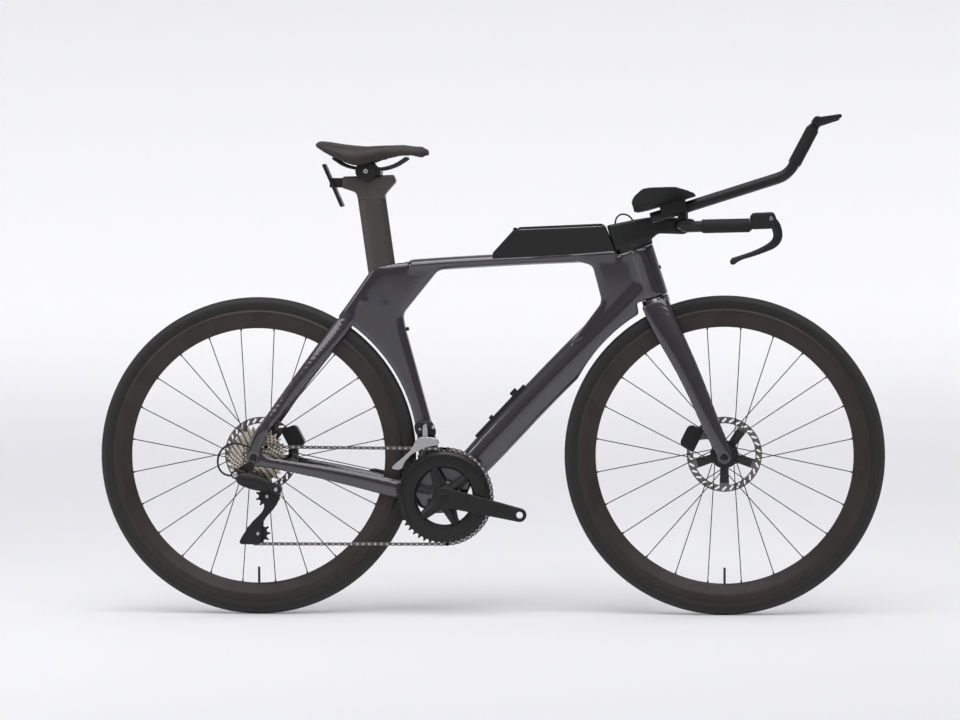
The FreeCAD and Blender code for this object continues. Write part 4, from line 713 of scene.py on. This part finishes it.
class Recipe(Nodes):
    """A Geometry Nodes tree with named inputs."""

    def __init__(self, name, **inputs):
        tree = bpy.data.node_groups.new(name, "GeometryNodeTree")
        super().__init__(tree)
        tree.interface.new_socket("Geometry", in_out="INPUT", socket_type="NodeSocketGeometry")
        for word, kind in inputs.items():
            tree.interface.new_socket(word, in_out="INPUT", socket_type="NodeSocket" + kind)
        tree.interface.new_socket("Geometry", in_out="OUTPUT", socket_type="NodeSocketGeometry")
        self.entry = tree.nodes.new("NodeGroupInput")

    def given(self, word):
        return Value(self, self.entry.outputs[word])

    def shape_of(self, word):
        return self.add("GeometryNodeObjectInfo", None, {"Object": self.given(word)}, "Geometry")

    def attribute(self, word, kind):
        return self.add("GeometryNodeInputNamedAttribute", {"data_type": kind}, {"Name": word}, "Attribute")

    def deliver(self, parts):
        together = self.tree.nodes.new("GeometryNodeJoinGeometry")
        for part in parts:
            self.tree.links.new(part.socket, together.inputs[0])
        whole = self.add("GeometryNodeRealizeInstances", None, {0: Value(self, together.outputs[0])})
        dressed = self.add("GeometryNodeSetMaterial", None,
                           {"Geometry": whole, "Material": self.given("Finish")})
        self.tree.links.new(dressed.socket, self.tree.nodes.new("NodeGroupOutput").inputs[0])
        return self

    def run(self, thing, **values):
        modifier = thing.modifiers.new("recipe", "NODES")
        modifier.node_group = self.tree
        for socket in self.tree.interface.items_tree:
            if socket.in_out == "INPUT" and socket.name in values:
                modifier[socket.identifier] = values[socket.name]
        return bake(thing)


def link_recipe():
    """Chain links along a path, outer and inner ones in turn."""
    recipe = Recipe("chain_links", Pitch="Float", Outer="Object", Inner="Object", Finish="Material")
    path = recipe.add("GeometryNodeMeshToCurve", None, {0: recipe.given("Geometry")})
    points = recipe.add("GeometryNodeCurveToPoints", {"mode": "LENGTH"},
                        {"Curve": path, "Length": recipe.given("Pitch")}, "Points")
    turn = recipe.add("FunctionNodeAlignRotationToVector", {"axis": "X", "pivot_axis": "Y"},
                      {"Vector": points.other("Tangent")})
    odd = recipe.add("GeometryNodeInputIndex") % 2.0
    rows = []
    for word, chosen in {"Outer": odd, "Inner": 1.0 - odd}.items():
        rows.append(recipe.add("GeometryNodeInstanceOnPoints", None,
                               {"Points": points, "Selection": chosen, "Instance": recipe.shape_of(word),
                                "Rotation": turn}))
    return recipe.deliver(rows)


def fastener_recipe():
    """One small part at each point, turned to face outwards and scaled."""
    recipe = Recipe("fasteners", Head="Object", Finish="Material")
    turn = recipe.add("FunctionNodeAlignRotationToVector", {"axis": "Z"},
                      {"Vector": recipe.attribute("facing", "FLOAT_VECTOR")})
    heads = recipe.add("GeometryNodeInstanceOnPoints", None,
                       {"Points": recipe.given("Geometry"), "Instance": recipe.shape_of("Head"),
                        "Rotation": turn, "Scale": recipe.attribute("size", "FLOAT")})
    return recipe.deliver([heads])


def spread(recipe, name, body, finish, head, spots):
    """Runs the fastener recipe over spots of (place, facing, radius in millimetres)."""
    thing = mesh_piece(name, [place for place, facing, radius in spots], [])
    thing.data.attributes.new("facing", "FLOAT_VECTOR", "POINT")
    thing.data.attributes.new("size", "FLOAT", "POINT")
    for index, (place, facing, radius) in enumerate(spots):
        thing.data.attributes["facing"].data[index].vector = facing
        thing.data.attributes["size"].data[index].value = radius
    recipe.run(thing, Head=head, Finish=finish)
    return settle(thing, body, finish, 35.0)


# Mouldings

# Rows of distance along the bike, old top and bottom, new top and bottom
SADDLE_FIT = ((123, 662, 652, 665, 660), (132, 663, 650, 668, 655), (150, 665, 642, 667, 645),
              (185, 663, 628, 662, 626), (210, 660, 624, 659, 617), (237, 659, 623, 658, 618),
              (265, 658, 626, 659, 626), (305, 660, 634, 661, 635), (339, 661, 637, 662, 634),
              (357, 657, 638, 658.5, 634.5), (372, 652, 640, 650, 638))
PAD_FIT = ((-204, 500, 490, 500, 490), (-192, 526, 498, 532, 498), (-184, 538, 502, 547, 502),
           (-172, 553, 507, 558, 507), (-158, 564, 512, 564, 512), (-105, 569, 530, 567, 530),
           (-58, 553, 540, 553, 540))


def mouldings(finishes):
    """Skins over the moulded and forged pieces."""
    paint, alloy, plastic = finishes["frame_paint"], finishes["black_alloy"], finishes["black_plastic"]
    skin("frame_skin", ["frame", "rear_stays"], "frame", paint, 2.6, 26, 4)
    skin("fork_skin", ["fork"], "steering", paint, 2.2, 16, 4)
    skin("right_crank_skin", ["right_crank"], "crankset", alloy, 1.3, 14, 3)
    skin("left_crank_skin", ["left_crank"], "crankset", alloy, 1.3, 14, 3)
    skin("arm_rest_skin", ["arm_rests"], "steering", plastic, 1.5, 4, 3,
         (FRONT_AXLE, PAD_FIT))
    skin("stem_skin", ["stem"], "steering", alloy, 1.6, 18, 4)
    skin("lever_housing_skin", ["lever_housings"], "steering", plastic, 1.2, 12, 4)


# Hand and saddle hardware

HAND = 200.0
LEVER_RUN = ((84, 505, 6.0), (95, 500, 8.0), (107, 488, 8.3), (113, 472, 7.8), (112, 457, 7.5),
             (102, 445, 7.0), (83, 435, 5.4), (60, 426, 4.4), (38, 419, 4.0), (27, 414.5, 5.0),
             (19, 410.5, 6.2), (14, 408.5, 3.0))
LEVER_SIDES = 16
LEVER_FLAT = 0.7
LEVER_EYE = ((7.0, -5.6), (8.0, -4.8), (8.0, 4.8), (7.0, 5.6))
CLAMP_CENTRE = (237, 605)
JAW_APART = 24
JAW = ((12, -7), (21, -6), (22.5, -4), (22.5, 4), (21, 6), (12, 7))
JAW_BAR = ((9, -24), (9, 24))


def brake_levers(finishes):
    """Slim hooked levers with a ball at the end."""
    for side, word in ((-1, "right"), (1, "left")):
        stations = flow([Vector((*from_front(x, z, side * HAND), radius)) for x, z, radius in LEVER_RUN])
        path = [place.xyz for place in stations]
        radii = [place.w for place in stations]
        blade = Build().tube(path, radii, LEVER_SIDES, LEVER_FLAT)
        blade.turned(pivot(word + "_brake_pull"), LEVER_EYE, 24)
        thing = blade.piece(word + "_brake_blade", word + "_brake", finishes["black_alloy"], "black_alloy",
                            50.0)
        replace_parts(thing, word + "_brake_lever")


def saddle_clamp(finishes):
    """The round jaws that hold the saddle's rails."""
    jaws = Build()
    for side in (-1, 1):
        jaws.turned(from_rear(*CLAMP_CENTRE, side * JAW_APART), JAW)
    jaws.turned(from_rear(*CLAMP_CENTRE), JAW_BAR, 20)
    jaws.piece("clamp_jaws", "saddle_set", finishes["black_alloy"], "black_alloy")


# Chain

PITCH = 12.7
RING_TEETH = 50
COG_TEETH = 11
PULLEY_TEETH = 11
CHAIN_PARTING = 0.9
CHAIN_LAP = 2 * PITCH * MM
GUIDE_REACH = (296, 340, 384)
RING_CENTRE = CRANK_AXLE + Vector((0, -47.0 * MM, 0))
COG_CENTRE = from_rear(0, 0, -65.0)
LINK_END = 4.1
LINK_RIM = 0.2
# Near and far face of a plate, (radius, half length) of its pins or rollers, and half its waist
OUTER_LINK = (1.95, 2.6, (1.9, 2.8), 2.7)
INNER_LINK = (1.2, 1.85, (3.7, 1.1), 2.9)
GUIDE = pivot("guide_pulley_spin")
TENSION = pivot("tension_pulley_spin")


def pitch_radius(teeth):
    return PITCH * MM / (2 * math.sin(math.pi / teeth))


def belt(first, first_radius, first_way, second, second_radius, second_way):
    """Ends of the straight run between two wheels; way is 1 for anticlockwise."""
    gap = second - first
    heading = math.atan2(gap.z, gap.x)
    heading -= math.asin((second_radius * second_way - first_radius * first_way) / math.hypot(gap.x, gap.z))
    side = Vector((-math.sin(heading), 0, math.cos(heading)))
    return first - side * (first_radius * first_way), second - side * (second_radius * second_way)


def arc(centre, start, end, way):
    """Points round a wheel from start to end."""
    angles = [math.atan2(point.z - centre.z, point.x - centre.x) for point in (start, end)]
    turn = (angles[1] - angles[0]) * way % (2 * math.pi)
    radius = (start - centre).length
    steps = max(4, int(turn * 12))
    return [centre + Vector((math.cos(a), 0, math.sin(a))) * radius
            for a in (angles[0] + way * turn * step / steps for step in range(steps + 1))]


def link_template(name, near, far, pin, waist):
    """One chain link: two waisted plates, and pins or rollers."""
    half = PITCH / 2
    outline = []
    for side in (1, -1):
        for angle in (-60, -30, 0, 30, 60):
            turn = math.radians(angle if side > 0 else angle + 180)
            outline.append((half * side + LINK_END * math.cos(turn), LINK_END * math.sin(turn)))
        outline.append((0.0, waist * side))
    flat = [Vector(point) * MM for point in outline]
    build = Build().slab(flat, near, far, LINK_RIM).slab(flat, -far, -near, LINK_RIM)
    plate_points = len(build.points)
    for side in (1, -1):
        build.turned(Vector((half * side * MM, 0, 0)), [(pin[0], -pin[1]), (pin[0], pin[1])], 8)
    thing = build.template(name)
    thing.data.attributes.new("pin", "FLOAT", "POINT")
    for index in range(plate_points, len(thing.data.vertices)):
        thing.data.attributes["pin"].data[index].value = 1.0
    return thing


def chain(finishes):
    """Links along the chain's path, in stretches that follow the wheels and the two derailleurs."""
    ring, cog, pulley = (pitch_radius(teeth) for teeth in (RING_TEETH, COG_TEETH, PULLEY_TEETH))
    top_front, top_rear = belt(RING_CENTRE, ring, 1, COG_CENTRE, cog, 1)
    cog_exit, guide_entry = belt(COG_CENTRE, cog, 1, GUIDE, pulley, -1)
    guide_exit, tension_entry = belt(GUIDE, pulley, -1, TENSION, pulley, 1)
    low_rear, low_front = belt(TENSION, pulley, 1, RING_CENTRE, ring, 1)
    ahead = (low_front - low_rear).normalized()
    lead = top_rear + (top_front - top_rear).normalized() * CHAIN_LAP
    parting = cog_exit.lerp(guide_entry, CHAIN_PARTING)
    run = top_front.x - top_rear.x
    tail, middle, nose = (top_rear.lerp(top_front, (from_rear(x, 0).x - top_rear.x) / run)
                          for x in GUIDE_REACH)
    stretches = {
        "chain_ring_links": (arc(RING_CENTRE, low_front, top_front, 1), "frame", ["chain_wraps"]),
        "chain_cog_links": ([lead] + arc(COG_CENTRE, top_rear, cog_exit, 1) + [parting], "frame", []),
        "chain_upper_links": ([lead, middle], None, ["chain_upper_run"]),
        "chain_feed_links": ([middle, top_front], None, []),
        "chain_lower_links": ([low_rear, low_front], "frame", ["chain_lower_run"]),
        "chain_cage_links": ([parting] + arc(GUIDE, guide_entry, guide_exit, -1)
                             + arc(TENSION, tension_entry, low_rear, 1)
                             + [low_rear + ahead * CHAIN_LAP], "derailleur_cage", ["chain_cage_run"]),
    }
    outer = link_template("outer_link", *OUTER_LINK)
    inner = link_template("inner_link", *INNER_LINK)
    recipe = link_recipe()
    steel = finishes["chain_steel"]
    made = {}
    for name, (path, body, nodes) in stretches.items():
        edges = [(index, index + 1) for index in range(len(path) - 1)]
        links = mesh_piece(name, path, [], edges)
        long = sum((b - a).length for a, b in zip(path, path[1:]))
        recipe.run(links, Pitch=long / round(long / (PITCH * MM)), Outer=outer, Inner=inner, Finish=steel)
        if nodes:
            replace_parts(links, *nodes)
        made[name] = settle(links, body, steel, 35.0)
    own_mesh(made["chain_lower_links"])
    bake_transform(made["chain_upper_links"])
    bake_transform(made["chain_feed_links"])
    for template in (outer, inner):
        bpy.data.objects.remove(template)


# Drive train

CRANK_ANGLE = -13.3
SPIDER_ANGLES = (54, 126, -126, -54)
RING_COVER = ((61, -48.5), (61, -51.5), (64, -54.2), (72, -55.0), (83, -53.6), (86, -53.4), (87, -54.6),
              (89, -54.6), (90, -53.2), (94, -50.5), (95.5, -49.2), (95.5, -48.5))
AXLE_CAP = ((9.0, -70.5), (9.0, -71.6), (8.2, -72.2), (5.0, -72.2), (4.6, -71.4), (2.0, -71.4))


def crank_point(reach, angle, across):
    turn = math.radians(CRANK_ANGLE + angle)
    return CRANK_AXLE + Vector((math.cos(turn) * reach, across, math.sin(turn) * reach)) * MM


def chainset(finishes):
    """Ridged spider arms, a dished ring cover and the axle cap."""
    ridges = Build()
    flare = math.degrees(math.atan2(13, 16))
    for angle in SPIDER_ANGLES:
        base = [crank_point(20.6, angle + flare, -57.0), crank_point(20.6, angle - flare, -57.0),
                crank_point(61, angle - 7, -55.5), crank_point(61, angle + 7, -55.5)]
        ridge = [crank_point(10, angle, -66.5), crank_point(59, angle, -60.0)]
        first = len(ridges.points)
        ridges.points.extend(base + ridge)
        ridges.faces.extend(tuple(first + index for index in face)
                            for face in ((0, 1, 2, 3), (1, 0, 4), (0, 3, 5, 4), (3, 2, 5), (2, 1, 4, 5)))
    ridges.piece("spider_ridges", "crankset", finishes["black_alloy"], "black_alloy", 20.0)
    cover = Build().hoop(CRANK_AXLE, RING_COVER)
    cover.piece("ring_cover", "crankset", finishes["black_ring"], "black_ring")
    cap = Build().turned(CRANK_AXLE, AXLE_CAP)
    cap.piece("axle_cap", "crankset", finishes["black_steel"], "black_steel")


CAGE_OUTLINE = ((27, -70), (42, -55), (57, -62), (54, -82), (42, -107), (27, -124), (18, -138), (17, -152),
                (15, -168), (10, -183), (-12, -184), (-29, -183), (-30, -174), (-16, -152), (-2, -134),
                (14, -118), (21, -105), (20, -88))
LINK_OUTLINE = ((-33, -34), (-12, -31), (14, -38), (39, -50), (43, -62), (28, -70), (8, -68), (-20, -60),
                (-34, -50))
KNUCKLE = (50, -66)
KNUCKLE_FORM = ((8.5, -98), (10.5, -97), (11.5, -94), (11.5, -76), (10, -72.5), (6, -72))
PULLEY_PIN = ((2.4, -7), (2.4, 7))
PULLEY_CAP = ((3.0, -10.2), (4.4, -9.6), (4.4, -8.2))


def rear_derailleur(finishes):
    """A curved two-plate cage, its knuckle and the broad swinging link."""
    alloy = finishes["black_alloy"]
    outline = outline_from(REAR_AXLE, CAGE_OUTLINE)
    cage = Build().slab(outline, -73.4, -70.4, 0.8).slab(outline, -59.6, -57.4, 0.5)
    cage.turned(from_rear(*KNUCKLE), KNUCKLE_FORM)
    cage.tube([from_rear(24, -54, -90), from_rear(38, -60, -90), from_rear(50, -66, -87)], [6.5, 7.5, 9.0])
    for centre in (GUIDE, TENSION):
        cage.turned(centre, PULLEY_PIN, 16)
        cage.turned(centre, PULLEY_CAP, 16)
    thing = cage.piece("derailleur_cage_plates", "derailleur_cage", alloy, "black_alloy", 30.0)
    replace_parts(thing, "rear_derailleur_cage")
    link_body = Build().slab(outline_from(REAR_AXLE, LINK_OUTLINE), -97.0, -84.5, 3.0)
    thing = link_body.piece("derailleur_link_cover", "derailleur_link", alloy, "black_alloy", 50.0)
    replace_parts(thing, "rear_derailleur_link")


GUIDE_OUTLINE = ((345, 38), (364, 42), (387, 37), (389, 26), (367, 21), (338, 8), (320, -9), (311, -25),
                 (294, -25), (295, -18), (318, 2), (334, 18))
GUIDE_BRIDGE = ((348, 34), (386, 35), (386, 30), (348, 28))
GUIDE_TAIL = ((295, -18), (301, -14), (305, -20), (300, -25))
GUIDE_ARM = ((356, 34), (367, 34), (367, 66), (362, 70), (356, 66))
GUIDE_BODY = ((338, 66), (352, 76), (374, 73), (383, 52), (376, 42), (346, 43))


def front_derailleur(finishes):
    """Two curved cage plates with a bridge, its arm, and the fixed body behind."""
    bright, black = finishes["bright_cage"], finishes["black_alloy"]
    outline = outline_from(REAR_AXLE, GUIDE_OUTLINE)
    bridge, tail, arm = (outline_from(REAR_AXLE, form, 1) for form in (GUIDE_BRIDGE, GUIDE_TAIL, GUIDE_ARM))
    cage = Build().slab(outline, -56.2, -54.6, 0.4).slab(outline, -40.9, -39.5, 0.4)
    cage.slab(bridge, -55.5, -40.0, 0.3).slab(tail, -55.5, -40.0, 0.3).slab(arm, -46.0, -39.0, 1.0)
    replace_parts(cage.piece("chain_guide_plates", "chain_guide", bright, "bright_cage"),
                "front_derailleur_cage")
    fixed = Build().slab(outline_from(REAR_AXLE, GUIDE_BODY), -33.5, -18.0, 2.5)
    fixed.piece("chain_guide_body", "frame", black, "black_alloy", 50.0)


# Wheels

SPOKES = 24
NIPPLE_REACH = 273.0
NIPPLE_RADIUS = 1.9
NIPPLE = ((1.0, -0.4), (1.0, 2.2), (0.75, 2.6))


def nipple_spots(axle):
    spots = []
    for index in range(SPOKES):
        angle = 2 * math.pi * (index + 0.5) / SPOKES
        out = Vector((math.cos(angle), 0, math.sin(angle)))
        spots.append((axle + out * (NIPPLE_REACH * MM), -out, NIPPLE_RADIUS))
    return spots


# Fasteners

ACROSS = Vector((0, -1, 0))
BOLT_STEPS = 12
# Radius, height and whether the row is six-sided
BOLT_ROWS = ((1.0, -0.2, False), (1.0, 0.45, False), (0.86, 0.6, False), (0.5, 0.6, True), (0.48, 0.2, True))


def bolt_head():
    """A socket head of one millimetre radius that faces along Z."""
    loops = []
    for radius, height, hexagon in BOLT_ROWS:
        loop = []
        for step in range(BOLT_STEPS):
            angle = 2 * math.pi * step / BOLT_STEPS
            away = radius / math.cos((angle % (math.pi / 3)) - math.pi / 6) * 0.87 if hexagon else radius
            loop.append(Vector((math.cos(angle) * away, math.sin(angle) * away, height)) * MM)
        loops.append(loop)
    return Build().rows(loops).template("bolt_head")


def nipple():
    return Build().turned(Vector(), NIPPLE, 8, (0, 0, 1)).template("nipple_body")


def fasteners(finishes):
    """Bolts and spoke nipples, one mesh for each body."""
    recipe = fastener_recipe()
    head, grip = bolt_head(), nipple()
    bolts = {
        "derailleur_bolts": ("derailleur_cage", [(centre + ACROSS * (10.0 * MM), ACROSS, 3.6)
                                                 for centre in (GUIDE, TENSION)]
                             + [(from_rear(*KNUCKLE, -98), ACROSS, 4.2)]),
        "frame_bolts": ("frame", [(from_rear(-37, -35, -94), ACROSS, 6.0),
                                  (from_rear(378, 62, -33.5), ACROSS, 4.0),
                                  (from_rear(350, 58, -33.5), ACROSS, 3.2)]),
        "guide_bolts": ("chain_guide", [(from_rear(299, -20, -56.2), ACROSS, 2.4),
                                        (from_rear(361.5, 64, -46), ACROSS, 3.2)]),
        "clamp_bolts": ("saddle_set", [(from_rear(*CLAMP_CENTRE, -31), ACROSS, 5.5)]),
        "cockpit_bolts": ("steering", [(from_front(98, 499, side * (HAND + 11.4)), Vector((0, side, 0)), 4.0)
                                       for side in (-1, 1)]),
    }
    for name, (body, spots) in bolts.items():
        spread(recipe, name, body, finishes["bright_cage"], head, spots)
    for word, axle in (("front", FRONT_AXLE), ("rear", REAR_AXLE)):
        spread(recipe, word + "_nipples", word + "_wheel", finishes["black_steel"], grip,
               nipple_spots(axle))
    for template in (head, grip):
        bpy.data.objects.remove(template)


# Soft pieces

PAD_VOXEL = 4.0
PAD_PRESSURE = 4.0
PAD_FRAMES = 20
PAD_ROUNDS = 5


def swollen(name, node, body, finish, fit, draw_in, cap):
    """A padded cover: a closed copy drawn in a little, blown up by cloth pressure and held to a limit."""
    thing = bake(remesh(clone(name, node), PAD_VOXEL))
    refit(thing, *fit)
    start = [vertex.co - vertex.normal * (draw_in * MM) for vertex in thing.data.vertices]
    for vertex, place in zip(thing.data.vertices, start):
        vertex.co = place
    cloth = thing.modifiers.new("cloth", "CLOTH")
    cloth.settings.use_pressure = True
    cloth.settings.uniform_pressure_force = PAD_PRESSURE
    cloth.settings.effector_weights.gravity = 0.0
    cloth.point_cache.frame_start = 1
    cloth.point_cache.frame_end = PAD_FRAMES
    for step in range(1, PAD_FRAMES + 1):
        bpy.context.scene.frame_set(step)
    bake(thing)
    bpy.context.scene.frame_set(1)
    for vertex, place in zip(thing.data.vertices, start):
        move = vertex.co - place
        if move.length > cap * MM:
            vertex.co = place + move.normalized() * (cap * MM)
    smooth(thing, PAD_ROUNDS)
    finer = thing.modifiers.new("finer", "SUBSURF")
    finer.levels = finer.render_levels = 1
    bake(thing)
    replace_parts(thing, node)
    return settle(thing, body, finish)


# Cables

GEAR_ROUTE = ((-4, 20, -77), (-28, 31, -76), (-54, 29, -78), (-72, 13, -80), (-77, -10, -82),
              (-70, -29, -84), (-54, -38, -85.5), (-42, -37, -85.5))
WIRE_ROUTE = ((-229, 484, -14), (-229, 500, -14), (-219, 511, -14.5), (-205, 511, -15), (-193, 502, -15.5),
              (-186, 488, -16))
GEAR_RADIUS = 2.2
WIRE_RADIUS = 1.8


def cable(name, node, body, points, radius, finish):
    """A smooth cable along the part's own route."""
    data = bpy.data.curves.new(name, "CURVE")
    data.dimensions = "3D"
    data.bevel_depth = radius * MM
    data.bevel_resolution = 5
    data.resolution_u = 10
    data.use_fill_caps = True
    spline = data.splines.new("NURBS")
    spline.points.add(len(points) - 1)
    for spot, place in zip(spline.points, points):
        spot.co = (*place, 1.0)
    spline.order_u = 3
    spline.use_endpoint_u = True
    data.materials.append(finish)
    thing = link(bpy.data.objects.new(name, data))
    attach(thing, body)
    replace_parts(thing, node)


def cables(finishes):
    plastic = finishes["black_plastic"]
    gear = [from_rear(x, z, y) for x, z, y in GEAR_ROUTE]
    wire = [from_front(x, z, y) for x, z, y in WIRE_ROUTE]
    cable("gear_cable", "rear_shift_cable", "frame", gear, GEAR_RADIUS, plastic)
    cable("stem_wire", "stem_cable", "steering", wire, WIRE_RADIUS, plastic)


scene = bpy.context.scene
scene.view_settings.view_transform = "Standard"
set_camera()
studio()
finishes = dress_nodes()
cables(finishes)
mouldings(finishes)
brake_levers(finishes)
saddle_clamp(finishes)
chain(finishes)
chainset(finishes)
rear_derailleur(finishes)
front_derailleur(finishes)
fasteners(finishes)
swollen("saddle_padding", "saddle_cover", "saddle_set", finishes["saddle_leather"],
        (REAR_AXLE, SADDLE_FIT), 1.0, 1.8)
swollen("arm_padding", "arm_pads", "steering", finishes["arm_pad_foam"],
        (FRONT_AXLE, PAD_FIT), 1.5, 4.0)
